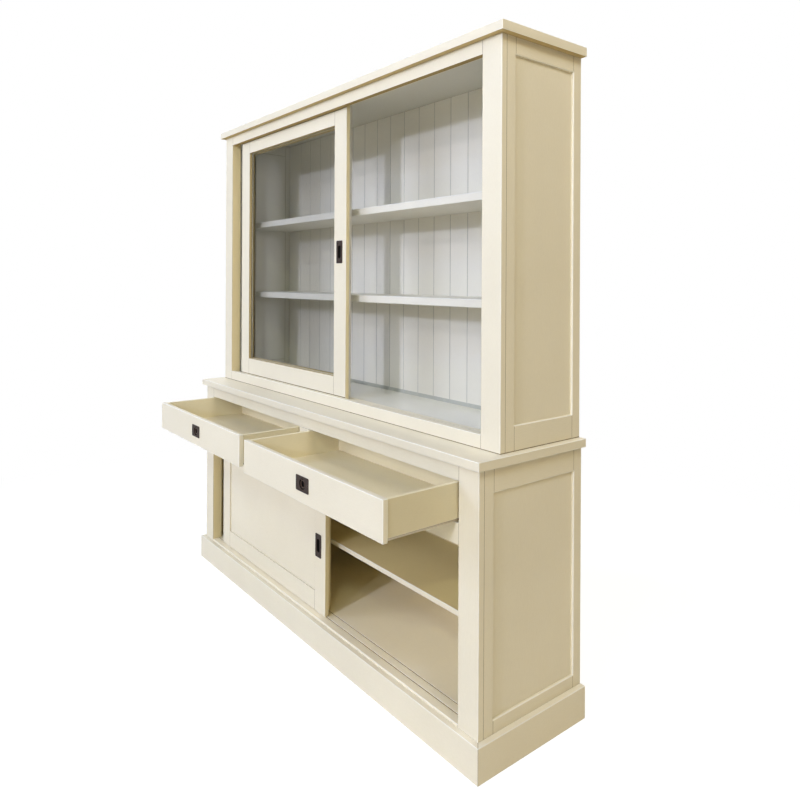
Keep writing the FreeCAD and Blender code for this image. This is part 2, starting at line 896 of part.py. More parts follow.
def glazed_door(prefix, x, z, face):
    """An upper door: frame, glass from behind, beads and pull."""
    glass_face = face + D.glass_setback
    glass_back = glass_face + D.glass_thick
    housing_x, housing_z = infill_limits(x, z, D.upper_door_frame, D.glass_housing)
    housing = board(f"{prefix}_rebate", housing_x, (glass_face, face + D.door_thick), housing_z)
    pull_x = x[1] - D.upper_pull_edge
    tools = slot_pull(f"{prefix}_pull", pull_x, face, D.upper_pull_level)
    door_frame(f"{prefix}_frame", x, z, face, D.upper_door_frame, housing, tools)

    pane_x, pane_z = infill_limits(x, z, D.upper_door_frame, D.glass_housing - D.glass_gap)
    sub_part(f"{prefix}_glass", board(f"{prefix}_pane", pane_x, (glass_face, glass_back), pane_z))

    bead_y = (glass_back, glass_back + D.bead_thick)
    sight_x, sight_z = infill_limits(x, z, D.upper_door_frame, 0)
    sub_part(
        f"{prefix}_beads",
        board(f"{prefix}_bead_left", (housing_x[0], sight_x[0]), bead_y, housing_z),
        board(f"{prefix}_bead_right", (sight_x[1], housing_x[1]), bead_y, housing_z),
        board(f"{prefix}_bead_foot", sight_x, bead_y, (housing_z[0], sight_z[0])),
        board(f"{prefix}_bead_top", sight_x, bead_y, (sight_z[1], housing_z[1])),
    )
    gliders(f"{prefix}_gliders", x, face, z)


def panelled_door(prefix, x, z, face):
    """A lower door: frame grooved round a recessed panel, and pull."""
    panel_y = (face + D.door_panel_setback, face + D.door_panel_setback + D.door_panel_thick)
    housing_x, housing_z = infill_limits(x, z, D.lower_door_frame, D.door_panel_housing)
    housing = board(f"{prefix}_groove", housing_x, panel_y, housing_z)
    pull_x = x[1] - D.lower_pull_edge
    tools = slot_pull(f"{prefix}_pull", pull_x, face, D.lower_pull_level)
    door_frame(f"{prefix}_frame", x, z, face, D.lower_door_frame, housing, tools)

    reach = D.door_panel_housing - D.door_panel_gap
    panel_x, panel_z = infill_limits(x, z, D.lower_door_frame, reach)
    sub_part(f"{prefix}_panel", board(f"{prefix}_panel_board", panel_x, panel_y, panel_z))
    gliders(f"{prefix}_gliders", x, face, z)


def sliding_doors():
    """Two pairs of by-pass doors, each pair with an overlap at the middle when closed."""
    levels = (
        (
            "upper", glazed_door, half_hutch_opening, hutch_front,
            (hutch_track_top + D.door_lift, hutch_guide_bottom - D.door_top_gap),
            D.upper_front_open, D.upper_rear_gap,
        ),
        (
            "lower", panelled_door, half_opening, front,
            (floor_top + D.door_lift, lower_guide_bottom - D.door_top_gap),
            D.lower_front_open, D.lower_rear_gap,
        ),
    )
    for level, builder, half_gap, face, z, front_open, rear_gap in levels:
        width = half_gap + D.door_overlap / 2
        front_left = front_open + D.door_stop_gap - half_gap
        front_face = face + D.door_setback
        builder(f"{level}_front_door", (front_left, front_left + width), z, front_face)
        rear_left = rear_gap - D.door_tuck - half_gap
        rear_face = front_face + D.door_pitch
        builder(f"{level}_rear_door", (rear_left, rear_left + width), z, rear_face)


# ---------------------------------------------------------------- drawers

def drawer(prefix, opening, pulled_out):
    """A drawer: false front, four-piece box, ring pull and the moving runner members."""
    face = front - pulled_out
    front_x = (opening[0] + D.drawer_gap, opening[1] - D.drawer_gap)
    front_z = (drawer_opening_bottom + D.drawer_gap, drawer_opening_top - D.drawer_gap)
    box_start = face + D.drawer_front_thick
    inner_end = box_start + D.drawer_inner_depth
    box_end = inner_end + D.drawer_side_thick
    box_x = (front_x[0] + D.drawer_side_inset, front_x[1] - D.drawer_side_inset)
    inner_x = (box_x[0] + D.drawer_side_thick, box_x[1] - D.drawer_side_thick)
    box_z = (drawer_opening_bottom + D.drawer_side_lift, front_z[1] - D.drawer_top_drop)
    bottom_z = box_z[0] + D.drawer_bottom_lift

    middle_x = (front_x[0] + front_x[1]) / 2
    middle_z = (front_z[0] + front_z[1]) / 2
    tools = ring_pull(f"{prefix}_pull", f"{prefix}_ring", middle_x, face, middle_z)
    blank = board(f"{prefix}_front_blank", front_x, (face, box_start), front_z)
    sub_part(f"{prefix}_front", cut(f"{prefix}_front_board", blank, *tools))

    sub_part(
        f"{prefix}_box",
        board(f"{prefix}_left_side", (box_x[0], inner_x[0]), (box_start, box_end), box_z),
        board(f"{prefix}_right_side", (inner_x[1], box_x[1]), (box_start, box_end), box_z),
        board(f"{prefix}_box_back", inner_x, (inner_end, box_end), box_z),
        board(
            f"{prefix}_bottom", inner_x, (box_start, inner_end),
            (bottom_z, bottom_z + D.drawer_bottom_thick),
        ),
    )

    runner_y = (box_start, box_start + D.runner_length)
    runner_foot = drawer_opening_bottom + D.cabinet_runner_height + D.runner_gap
    runner_z = (runner_foot, box_z[0])
    left_x = (box_x[0], box_x[0] + D.drawer_runner_width)
    right_x = (box_x[1] - D.drawer_runner_width, box_x[1])
    sub_part(
        f"{prefix}_runners",
        board(f"{prefix}_runner_left", left_x, runner_y, runner_z),
        board(f"{prefix}_runner_right", right_x, runner_y, runner_z),
    )


# ---------------------------------------------------------------- the whole cabinet

plinth()
floor_bearers()
lower_floor()
lower_carcass()
hutch_carcass()
hutch_back()
shelf("lower_shelf", half_inner, lower_shelf_front, lower_shelf_bottom, D.lower_shelf_thick)
shelf("hutch_shelf_lower", half_hutch_inner, hutch_shelf_front, D.hutch_shelf_low, D.hutch_shelf_thick)
shelf("hutch_shelf_upper", half_hutch_inner, hutch_shelf_front, D.hutch_shelf_high, D.hutch_shelf_thick)
shelf_pins()
tracks()
runner_supports()
sliding_doors()
openings = drawer_openings()
drawer("left_drawer", openings["left"], D.left_drawer_open)
drawer("right_drawer", openings["right"], D.right_drawer_open)

doc.recompute()
for item in doc.Objects:
    if "Invalid" in item.State or "Error" in item.State:
        raise RuntimeError(f"{item.Label} did not build: {item.State}")
for item in nodes:
    if item.Shape.isNull() or not item.Shape.isValid() or not item.Shape.Solids:
        raise RuntimeError(f"{item.Label} has no valid shape")

os.makedirs("parts", exist_ok=True)
for item in nodes:
    item.Shape.exportStep(f"parts/{item.Label}.step")
print(len(nodes), "sub-parts written")
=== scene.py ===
import math
import bpy
from mathutils import Matrix, Vector


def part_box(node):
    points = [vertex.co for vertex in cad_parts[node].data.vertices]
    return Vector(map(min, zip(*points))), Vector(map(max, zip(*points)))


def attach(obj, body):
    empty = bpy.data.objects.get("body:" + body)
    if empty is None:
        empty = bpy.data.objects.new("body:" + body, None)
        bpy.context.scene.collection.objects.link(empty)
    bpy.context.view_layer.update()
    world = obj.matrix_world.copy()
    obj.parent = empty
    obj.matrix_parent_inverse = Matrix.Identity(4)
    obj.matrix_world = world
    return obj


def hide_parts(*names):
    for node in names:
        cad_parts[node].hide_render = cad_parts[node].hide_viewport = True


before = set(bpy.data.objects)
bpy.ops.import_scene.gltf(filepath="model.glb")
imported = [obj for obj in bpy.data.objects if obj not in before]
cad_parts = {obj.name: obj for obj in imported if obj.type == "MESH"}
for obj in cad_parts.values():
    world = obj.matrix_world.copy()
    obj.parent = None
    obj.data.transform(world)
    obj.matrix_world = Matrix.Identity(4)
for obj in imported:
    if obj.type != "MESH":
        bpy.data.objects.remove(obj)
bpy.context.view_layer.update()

# -------- viewpoint
# Eye height 1.43 m, close to the right front corner, looking level along the front.  The
# rising lens keeps the uprights parallel.

EYE = (2.3441, -1.6160, 1.4318)
EYE_TURN = 0.9142
EYE_ROLL = 0.0050
LENS = 30.224
LENS_SHIFT = (0.0159, -0.1495)
FILM_WIDTH = 36
FARTHEST = 200

bpy.ops.object.camera_add(location=(0, 0, 0))
camera = bpy.context.object
camera.matrix_world = (
    Matrix.Translation(EYE)
    @ Matrix.Rotation(EYE_TURN, 4, "Z")
    @ Matrix.Rotation(math.pi / 2, 4, "X")
    @ Matrix.Rotation(EYE_ROLL, 4, "Z")
)
camera.data.sensor_width = FILM_WIDTH
camera.data.lens = LENS
camera.data.shift_x, camera.data.shift_y = LENS_SHIFT
camera.data.clip_end = FARTHEST
bpy.context.scene.camera = camera
bpy.context.scene.view_settings.view_transform = "Standard"

# -------- studio floor
# A pale matt floor.  To the eye it is white and keeps the cabinet's shadow close by, and
# is plain white farther off.

WHITE = (1.0, 1.0, 1.0)
FLOOR_SIZE = 120
FLOOR_COLOUR = (0.84, 0.77, 0.60)
FLOOR_DARKER = (0.82, 0.75, 0.58)
FLOOR_CLOUD = 3.0
FLOOR_GRIT = 260.0
FLOOR_RELIEF = (0.2, 0.0004)
FLOOR_SHADOW = 0.30
FLOOR_LIT = 0.45
SHADOW_REACH = (1.6, 3.2)


class Wire:
    """A node socket that takes part in sums: each sum adds its Math node."""

    def __init__(self, tree, socket):
        self.tree = tree
        self.socket = socket

    def sum(self, operation, first, second):
        node = self.tree.nodes.new("ShaderNodeMath")
        node.operation = operation
        for slot, value in zip(node.inputs, (first, second)):
            if isinstance(value, Wire):
                self.tree.links.new(value.socket, slot)
            else:
                slot.default_value = value
        return Wire(self.tree, node.outputs[0])

    def __add__(self, other):
        return self.sum("ADD", self, other)

    def __radd__(self, other):
        return self.sum("ADD", other, self)

    def __sub__(self, other):
        return self.sum("SUBTRACT", self, other)

    def __mul__(self, other):
        return self.sum("MULTIPLY", self, other)

    def __pow__(self, other):
        return self.sum("POWER", self, other)

    def peak(self, other):
        return self.sum("MAXIMUM", self, other)


class Finish:
    """A new material, or the world, whose nodes are added one by one."""

    def __init__(self, name, world=None):
        self.owner = world or bpy.data.materials.new(name)
        self.owner.use_nodes = True
        self.tree = self.owner.node_tree
        self.tree.nodes.clear()

    def add(self, kind, inputs=None, output=0, **settings):
        node = self.tree.nodes.new(kind)
        for name, value in settings.items():
            setattr(node, name, value)
        for name, value in (inputs or {}).items():
            socket = node.inputs[name]
            if isinstance(value, Wire):
                self.tree.links.new(value.socket, socket)
            elif isinstance(value, tuple) and socket.type == "RGBA":
                socket.default_value = (*value, 1)
            else:
                socket.default_value = value
        return Wire(self.tree, node.outputs[output])

    def blend(self, share, first, second):
        inputs = {0: share, 6: first, 7: second}
        return self.add("ShaderNodeMix", inputs, 2, data_type="RGBA")

    def place(self):
        return self.add("ShaderNodeTexCoord", output="Object")

    def stretched(self, scale):
        return self.add("ShaderNodeMapping", {"Vector": self.place(), "Scale": scale})

    def noise(self, where, scale, detail=2.0, roughness=0.5):
        inputs = {"Vector": where, "Scale": scale, "Detail": detail, "Roughness": roughness}
        return self.add("ShaderNodeTexNoise", inputs)

    def rubbed(self):
        """1 on the rounded edges, 0 elsewhere."""
        return self.add("ShaderNodeAttribute", output="Fac", attribute_name="rubbed")

    def bump(self, height, strength, distance):
        inputs = {"Height": height, "Strength": strength, "Distance": distance}
        return self.add("ShaderNodeBump", inputs)

    def glow(self, strength=1.0):
        return self.add("ShaderNodeEmission", {"Color": WHITE, "Strength": strength})

    def either(self, share, first, second):
        return self.add("ShaderNodeMixShader", {0: share, 1: first, 2: second})

    def surface(self, **inputs):
        named = {name.replace("_", " "): value for name, value in inputs.items()}
        return self.add("ShaderNodeBsdfPrincipled", named)

    def out(self, shader, kind="ShaderNodeOutputMaterial"):
        node = self.tree.nodes.new(kind)
        self.tree.links.new(shader.socket, node.inputs["Surface"])
        return self.owner


def deselect():
    bpy.ops.object.select_all(action="DESELECT")


def seen_directly(finish):
    """1 for what the eye, a gloss or a pane shows, 0 for the light that falls on things."""
    camera_ray, glossy_ray, glass_ray = (
        finish.add("ShaderNodeLightPath", output=name)
        for name in ("Is Camera Ray", "Is Glossy Ray", "Is Transmission Ray"))
    return camera_ray.peak(glossy_ray).peak(glass_ray)


ground = Finish("studio_floor")
floor_place = ground.place()
floor_cloud = ground.noise(floor_place, FLOOR_CLOUD, 3.0, 0.6)
floor_grit = ground.noise(floor_place, FLOOR_GRIT, 2.0, 0.5)
floor_real = ground.add("ShaderNodeBsdfDiffuse", {
    "Color": ground.blend(floor_cloud, FLOOR_DARKER, FLOOR_COLOUR),
    "Normal": ground.bump(floor_grit, *FLOOR_RELIEF),
})
floor_seen = ground.add("ShaderNodeAddShader", {
    0: ground.add("ShaderNodeBsdfDiffuse", {"Color": (FLOOR_SHADOW,) * 3}),
    1: ground.glow(1 - FLOOR_SHADOW * FLOOR_LIT),
})
floor_away = ground.add("ShaderNodeVectorMath", {0: floor_place}, "Value", operation="LENGTH")
floor_far = ground.add(
    "ShaderNodeMapRange",
    {"Value": floor_away, "From Min": SHADOW_REACH[0], "From Max": SHADOW_REACH[1]},
    interpolation_type="SMOOTHSTEP",
)
seen_by_eye = seen_directly(ground)
floor_near = ground.either(seen_by_eye, floor_real, floor_seen)
floor_mix = ground.either(seen_by_eye * floor_far, floor_near, ground.glow())
deselect()
bpy.ops.mesh.primitive_plane_add(size=FLOOR_SIZE, location=(0, 0, 0))
floor = bpy.context.object
floor.name = "studio_floor"
floor.data.materials.append(ground.out(floor_mix))

# -------- studio light
# Small soft boxes before the cabinet at three heights, a broad one at the left, and others
# above, at the right and behind.  The walls all round are white to the eye and to a gloss.

STAND = Vector((0, -0.1, 1.1))
SKY_COLOUR = (1.0, 0.93, 0.80)
SKY_LEVEL = 0.02


def soft_box(name, turn, rise, away, size, colour):
    """A square lamp.  Its colour is the light that it throws on a facing white board."""
    turn, rise = math.radians(turn), math.radians(rise)
    flat = math.cos(rise)
    aim = Vector((math.sin(turn) * flat, -math.cos(turn) * flat, math.sin(rise)))
    bpy.ops.object.light_add(type="AREA", location=STAND + aim * away)
    lamp = bpy.context.object
    lamp.name = name
    lamp.rotation_euler = aim.to_track_quat("Z", "Y").to_euler()
    lamp.data.size = size
    lamp.data.energy = (math.pi * away) ** 2
    lamp.data.color = colour


for lamp in (
    ("low_box", 14, 15.6, 10.4, 0.5, (0.169, 0.179, 0.233)),
    ("low_side_box", 26, 15.6, 10.4, 0.5, (0.069, 0.072, 0.082)),
    ("middle_box", 14, 25.6, 11.1, 0.5, (0.084, 0.082, 0.093)),
    ("middle_side_box", 26, 25.6, 11.1, 0.5, (0.030, 0.025, 0.010)),
    ("high_box", 14, 37, 6.6, 0.35, (0.073, 0.079, 0.093)),
    ("high_side_box", 26, 37, 6.6, 0.35, (0.019, 0.025, 0.033)),
    ("corner_box", 45, 35, 12.0, 0.8, (0.098, 0.100, 0.072)),
    ("left_box", -28, 18, 12.0, 5.0, (0.209, 0.233, 0.303)),
    ("left_steep_box", -58, 39.5, 12.0, 0.6, (0.077, 0.088, 0.124)),
    ("top_box", 12, 66, 10.0, 1.0, (0.025, 0.032, 0.061)),
    ("right_box", 80, 35, 10.0, 3.0, (0.051, 0.027, 0.000)),
    ("right_steep_box", 80, 50, 5.0, 1.5, (0.224, 0.231, 0.241)),
    ("rear_box", 115, 30, 10.0, 3.0, (0.071, 0.046, 0.000)),
    ("back_box", 185, 30, 10.0, 3.0, (0.200, 0.195, 0.180)),
    ("far_left_box", -105, 30, 10.0, 3.0, (0.130, 0.130, 0.125)),
):
    soft_box(*lamp)

world = bpy.data.worlds.new("studio_sky")
bpy.context.scene.world = world
sky = Finish("studio_sky", world)
warm_sky = sky.add("ShaderNodeBackground", {"Color": SKY_COLOUR, "Strength": SKY_LEVEL})
white_wall = sky.add("ShaderNodeBackground", {"Color": WHITE, "Strength": 1.0})
sky.out(sky.either(seen_directly(sky), warm_sky, white_wall), "ShaderNodeOutputWorld")

# -------- plinth
# Skirting boards round the foot, mitred at the front corners and nailed to the case.  They
# carry the same cream satin paint as the rest of the outside, rolled on and laid off along
# the grain.

CREAM = (0.835, 0.778, 0.620)
PAINT_IOR = 1.48
PAINT_LIGHTER = 1.022
PAINT_DARKER = (0.950, 0.942, 0.925)
PAINT_TONES = (0.38, 0.62)
PAINT_RELIEF = (0.16, 0.0004)
GRAIN_STRETCH = {"x": (1, 16, 16), "y": (16, 1, 16), "z": (16, 16, 1)}
SHADE_MOTTLE = 0.8
SEAM_SHARE = 0.75
EASED = 0.0016
WELL_EASED = 0.002
HAIRLINE = 0.0007
CORNER_UNDER = 0.9
CORNER_STEPS = 3
SMOOTH_UNDER = math.radians(40)
TOUCH = 1e-5
NEAR = 1e-4
FACES = {
    "right": Vector((1, 0, 0)), "left": Vector((-1, 0, 0)), "back": Vector((0, 1, 0)),
    "front": Vector((0, -1, 0)), "top": Vector((0, 0, 1)), "bottom": Vector((0, 0, -1)),
}
WAYS = {"left": -1, "right": 1}


def painted(name, colour, highlight, roughness=0.40):
    """Satin paint on planed wood with a painted highlight on rounded edges, for each grain way.
    """
    ways = {}
    for way, stretch in GRAIN_STRETCH.items():
        finish = Finish(f"{name}_{way}")
        along = finish.stretched(stretch)
        around = finish.place()
        grain = finish.noise(along, 55, 4.0, 0.62)
        pores = finish.noise(along, 210)
        laid_off = finish.noise(along, 620, 1.0)
        cloud = finish.noise(around, 2.3, 3.0, 0.55)
        peel = finish.noise(around, 430)
        highlit_edge = finish.rubbed()
        patch = finish.noise(around, 38, 3.0, 0.7)
        spread = finish.add("ShaderNodeMapRange", {
            "Value": cloud * 0.40 + grain * 0.42 + pores * 0.18,
            "From Min": PAINT_TONES[0], "From Max": PAINT_TONES[1],
            "To Min": 0.0, "To Max": 1.0,
        })
        light = tuple(min(1, part * PAINT_LIGHTER) for part in colour)
        dark = tuple(part * share for part, share in zip(colour, PAINT_DARKER))
        body = finish.blend(spread, dark, light)
        relief = grain * 0.5 + pores * 0.2 + laid_off * 0.12 + peel * 0.25
        # Painted highlight: the rounded edges take the lighter highlight colour, and are a little
        # smoother.
        ways[way] = finish.out(finish.surface(
            Base_Color=finish.blend(highlit_edge * (0.78 + patch * 0.14), body, highlight),
            Roughness=roughness + laid_off * 0.10 + cloud * 0.06 - highlit_edge * 0.08,
            IOR=PAINT_IOR,
            Normal=finish.bump(relief, *PAINT_RELIEF),
        ))
    return ways


def shade_finish(name, colour):
    """Flat matt paint for painted shade in joints, hollows and under edges, mottled darker in
    places.
    """
    finish = Finish(name)
    mottle = finish.noise(finish.place(), 60, 3.0, 0.6)
    fine = finish.noise(finish.place(), 500, 1.0)
    darker = tuple(part * SHADE_MOTTLE for part in colour)
    return finish.out(finish.surface(
        Base_Color=finish.blend(mottle, darker, colour),
        Roughness=0.75 + fine * 0.15,
        Specular_IOR_Level=0.15,
        Normal=finish.bump(fine, 0.2, 0.0003),
    ))


def alone(piece):
    """Makes a piece the only selected and active object."""
    deselect()
    piece.select_set(True)
    bpy.context.view_layer.objects.active = piece


def stay():
    """Makes the active object's place, turn and size part of its mesh."""
    bpy.ops.object.transform_apply(location=True, rotation=True, scale=True)


def blank(name, low, high, finish=None):
    """A square-edged board between two corners, with its grain along its longest side."""
    low, high = Vector(low), Vector(high)
    size = high - low
    deselect()
    bpy.ops.mesh.primitive_cube_add(size=1, location=(low + high) / 2, scale=size)
    piece = bpy.context.object
    piece.name = piece.data.name = name
    stay()
    if finish:
        piece.data.materials.append(finish["xyz"[max(range(3), key=lambda axis: size[axis])]])
    return piece


def choose(piece, kind, test):
    """Opens a piece in edit mode with the faces, edges or points that pass the test."""
    alone(piece)
    mesh = piece.data
    for group in (mesh.vertices, mesh.edges, mesh.polygons):
        group.foreach_set("select", [False] * len(group))
    points = [point.co for point in mesh.vertices]
    if kind == "faces":
        group = mesh.polygons
        chosen = [test(face.center, face.normal) for face in group]
    elif kind == "edges":
        group = mesh.edges
        chosen = [test((points[edge.vertices[0]] + points[edge.vertices[1]]) / 2, edge)
                  for edge in group]
    else:
        group = mesh.vertices
        chosen = [test(point, None) for point in points]
    group.foreach_set("select", [bool(choice) for choice in chosen])
    modes = ("points", "edges", "faces")
    bpy.context.tool_settings.mesh_select_mode = [kind == mode for mode in modes]
    bpy.ops.object.mode_set(mode="EDIT")


def done():
    bpy.ops.object.mode_set(mode="OBJECT")


def shift(piece, kind, test, by):
    """Moves the chosen part of a piece."""
    choose(piece, kind, test)
    bpy.ops.transform.translate(value=by)
    done()


def looks(normal, side, share=0.3):
    """Whether a face looks towards a side, by the share of its normal that points there."""
    return normal.dot(FACES[side]) > share


def square(normal, share):
    """Whether a face looks along one of the three axes, by the same share."""
    return max(abs(part) for part in normal) >= share


def modified(piece, kind, **settings):
    """Gives a piece a modifier and applies it."""
    alone(piece)
    bpy.ops.object.modifier_add(type=kind)
    modifier = piece.modifiers[-1]
    for name, value in settings.items():
        setattr(modifier, name, value)
    bpy.ops.object.modifier_apply(modifier=modifier.name)


def shade(piece, test, finish=None):
    """Gives the faces that pass the test, by place, normal and narrowest side, a shade."""
    mesh = piece.data
    points = [point.co for point in mesh.vertices]
    chosen = []
    for face in mesh.polygons:
        narrow = min((points[start] - points[end]).length for start, end in face.edge_keys)
        if test(face.center, face.normal, narrow):
            chosen.append(face.index)
    if chosen:
        mesh.materials.append(finish or seam_shade)
        for index in chosen:
            mesh.polygons[index].material_index = len(mesh.materials) - 1


def ease(piece, exposed, radius=EASED, hairline=HAIRLINE):
    """Rounds the edges between exposed faces by the radius, and the others by a hairline."""
    mesh = piece.data
    sides = {}
    for face in mesh.polygons:
        for key in face.edge_keys:
            sides.setdefault(key, []).append(face.normal.copy())

    def is_exposed(normal):
        return any(looks(normal, side, 0.7) for side in exposed.split())

    def is_corner(edge):
        pair = sides.get(edge.key, [])
        return len(pair) == 2 and pair[0].dot(pair[1]) < CORNER_UNDER

    corners = {edge.key for edge in mesh.edges if is_corner(edge)}
    full = {key for key in corners if all(is_exposed(normal) for normal in sides[key])}
    thin = corners - full
    for keys, weight in ((full, 1), (thin, hairline / radius)):
        if keys:
            choose(piece, "edges", lambda middle, edge: edge.key in keys)
            bpy.ops.transform.edge_bevelweight(value=weight)
            done()
    modified(piece, "BEVEL", limit_method="WEIGHT", width=radius, segments=CORNER_STEPS)
    if thin and mesh.materials:
        shade(piece, lambda middle, normal, narrow: narrow < hairline * SEAM_SHARE
              and not square(normal, 0.999))
    return piece


def board(name, low, high, finish, exposed="", radius=EASED):
    """A planed board with eased edges."""
    return ease(blank(name, low, high, finish), exposed, radius)


def settle(piece, body, slot, *nodes):
    """Smooths a finished piece, marks its rounded edges, and puts it in its nodes' place."""
    alone(piece)
    bpy.ops.object.shade_smooth_by_angle(angle=SMOOTH_UNDER)
    modified(piece, "WEIGHTED_NORMAL", keep_sharp=True)
    rubbed = piece.data.attributes.new("rubbed", "FLOAT", "FACE")
    round_faces = [float(not square(face.normal, 0.985)) for face in piece.data.polygons]
    rubbed.data.foreach_set("value", round_faces)
    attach(piece, body)
    if nodes:
        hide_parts(*nodes)
    return piece


def plain(node, body, slot, finish, exposed="", radius=EASED):
    """A board that takes a node's place as it is."""
    settle(board(node, *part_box(node), finish, exposed, radius), body, slot, node)


# The second colour of each paint is its painted highlight on rounded edges.
cream = painted("cream_paint", CREAM, (0.94, 0.92, 0.84))
seam_shade = shade_finish("seam_shade", (0.300, 0.240, 0.140))

low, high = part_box("plinth_front")
plinth_thick = high.y - low.y
plinth = blank("plinth_front", low, high, cream)
for way in WAYS.values():
    shift(plinth, "edges",
          lambda middle, edge: middle.y > high.y - NEAR and middle.x * way > high.x - NEAR,
          (-way * plinth_thick, 0, 0))
ease(plinth, "front top", WELL_EASED)
settle(plinth, "carcass", "cream_paint", "plinth_front")
for side, way in WAYS.items():
    low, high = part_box(f"plinth_{side}")
    plinth = blank(f"plinth_{side}", low, high, cream)
    inner = high.x if way < 0 else low.x
    shift(plinth, "edges",
          lambda middle, edge: middle.y < low.y + NEAR and abs(middle.x - inner) < NEAR,
          (0, plinth_thick, 0))
    ease(plinth, f"{side} top back", WELL_EASED)
    settle(plinth, "carcass", "cream_paint", f"plinth_{side}")

# -------- bearers
# Upright boards under the floor and flat ones that carry the drawer runners, sawn from
# primed furniture board and left with a thin matt coat.

PRIMER = (0.72, 0.66, 0.53)
PRIMER_DARKER = 0.86


def primed():
    """Primed furniture board: fine chips under one matt coat, a little darker in places."""
    finish = Finish("board_primer")
    around = finish.place()
    chips = finish.add("ShaderNodeTexVoronoi", {"Vector": around, "Scale": 260}, feature="F1")
    cloud = finish.noise(around, 6, 4.0, 0.6)
    fibre = finish.noise(around, 340)
    darker = tuple(part * PRIMER_DARKER for part in PRIMER)
    return finish.out(finish.surface(
        Base_Color=finish.blend(cloud * 0.7 + chips * 0.5, PRIMER, darker),
        Roughness=0.62 + fibre * 0.2,
        Normal=finish.bump(chips * 0.6 + fibre * 0.4, 0.35, 0.0005),
    ))


def refinished(material, *nodes):
    """CAD pieces that stay, with their finish in every slot."""
    for node in nodes:
        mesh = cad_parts[node].data
        mesh.materials.clear()
        mesh.materials.append(material)


refinished(primed(), "floor_bearers", "runner_bearers")

# -------- lower floor
# One board between the posts with its front edge showing above the plinth.  Two grooves
# let into its top guide the doors.

FLOOR_HAIRLINE = 0.0003
GROOVE_DEPTH = 0.006
GROOVE_HALF = 0.002
GROOVE_EDGE = 0.0005
LOWER_GROOVES = (-0.195, -0.161)


def pull_out(piece, test, by):
    """Extrudes the chosen faces of a piece by a vector."""
    choose(piece, "faces", test)
    bpy.ops.mesh.extrude_region_move(TRANSFORM_OT_translate={"value": by})
    done()


def split(piece, *planes):
    """Scores a piece along planes, each a side's name and a place along that side's axis."""
    for side, at in planes:
        choose(piece, "faces", lambda middle, normal: True)
        bpy.ops.mesh.bisect(plane_co=FACES[side] * at, plane_no=FACES[side])
        done()


def notched(name, post_name, finish):
    """A floor board that reaches forward between two posts, notched round them."""
    low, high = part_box(name)
    reach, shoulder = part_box(post_name)[0].x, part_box(post_name)[1].y
    piece = blank(name, (low.x, shoulder, low.z), high, finish)
    split(piece, ("right", reach), ("right", -reach))
    pull_out(piece,
             lambda middle, normal: looks(normal, "front") and abs(middle.x) < reach,
             (0, low.y - shoulder, 0))
    return piece


def in_groove(middle, margin):
    return any(abs(middle.y - groove) < GROOVE_HALF + margin for groove in LOWER_GROOVES)


# Painted light: the floor board is a lighter cream than the rest.
lit_floor_cream = painted("lit_floor_cream", (0.945, 0.870, 0.685), (0.96, 0.94, 0.87))
groove_shade = shade_finish("groove_shade", (0.480, 0.340, 0.130))
floor_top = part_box("lower_floor")[1].z
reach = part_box("lower_post_right")[0].x
floor_board = notched("lower_floor", "lower_post_right", lit_floor_cream)
for groove in LOWER_GROOVES:
    split(floor_board, ("back", groove - GROOVE_HALF), ("back", groove + GROOVE_HALF))
pull_out(floor_board,
         lambda middle, normal: looks(normal, "top") and abs(middle.x) < reach
         and in_groove(middle, 0),
         (0, 0, -GROOVE_DEPTH))
ease(floor_board, "front top", hairline=FLOOR_HAIRLINE)
shade(floor_board, lambda middle, normal, narrow: middle.z < floor_top - GROOVE_EDGE
      and in_groove(middle, GROOVE_EDGE), groove_shade)
settle(floor_board, "carcass", "cream_paint", "lower_floor")

# -------- corner posts
# Solid stiles, rebated behind to house the framed sides.  Cream, with painted shade in a darker,
# warmer cream where they face each other; the hutch posts are grey-white behind.

POST_FACE = 0.022
FOOT_SHADOW = 0.0028
# Painted shade: a darker, warmer copy of the cream for faces that lie in shade.
shaded_cream = painted("shaded_cream", (0.800, 0.690, 0.415), (0.84, 0.76, 0.56))
grey_white = painted("grey_white_paint", (0.765, 0.744, 0.662), (0.80, 0.80, 0.76))


def two_toned(piece, finish, test):
    """Gives the faces that pass the test the other paint, with the grain as it runs."""
    faces, paints = piece.data.polygons, piece.data.materials
    for way, material in finish.items():
        own = [number for number, slot in enumerate(paints) if slot.name.endswith(f"_{way}")]
        wanted = {face.index for face in faces
                  if face.material_index in own and test(face.center, face.normal)}
        if wanted and material.name not in paints:
            paints.append(material)
        number = paints.find(material.name)
        for index in wanted:
            faces[index].material_index = number


def inner_face(piece, finish, way):
    """Gives the side of a piece that looks into the case the other paint."""
    two_toned(piece, finish,
              lambda middle, normal: looks(normal, "left" if way > 0 else "right"))


def foot_shadow(piece, node):
    """Paints a narrow shadow along a piece's foot, at the joint where it stands."""
    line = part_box(node)[0].z + FOOT_SHADOW
    split(piece, ("top", line))
    shade(piece,
          lambda middle, normal, narrow: middle.z < line and abs(normal.z) < CORNER_UNDER)


def post(node, side, way):
    """A face board with a narrower return behind it."""
    low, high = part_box(node)
    face_back = low.y + POST_FACE
    piece = blank(node, low, (high.x, face_back, high.z), cream)
    rebate = (high.x if way > 0 else low.x) - way * POST_FACE
    split(piece, ("right", rebate))
    pull_out(piece,
             lambda middle, normal: looks(normal, "back") and middle.x * way < rebate * way,
             (0, high.y - face_back, 0))
    ease(piece, f"front {side}")
    # Painted shade where the post looks into the case.
    inner_face(piece, shaded_cream, way)
    return piece


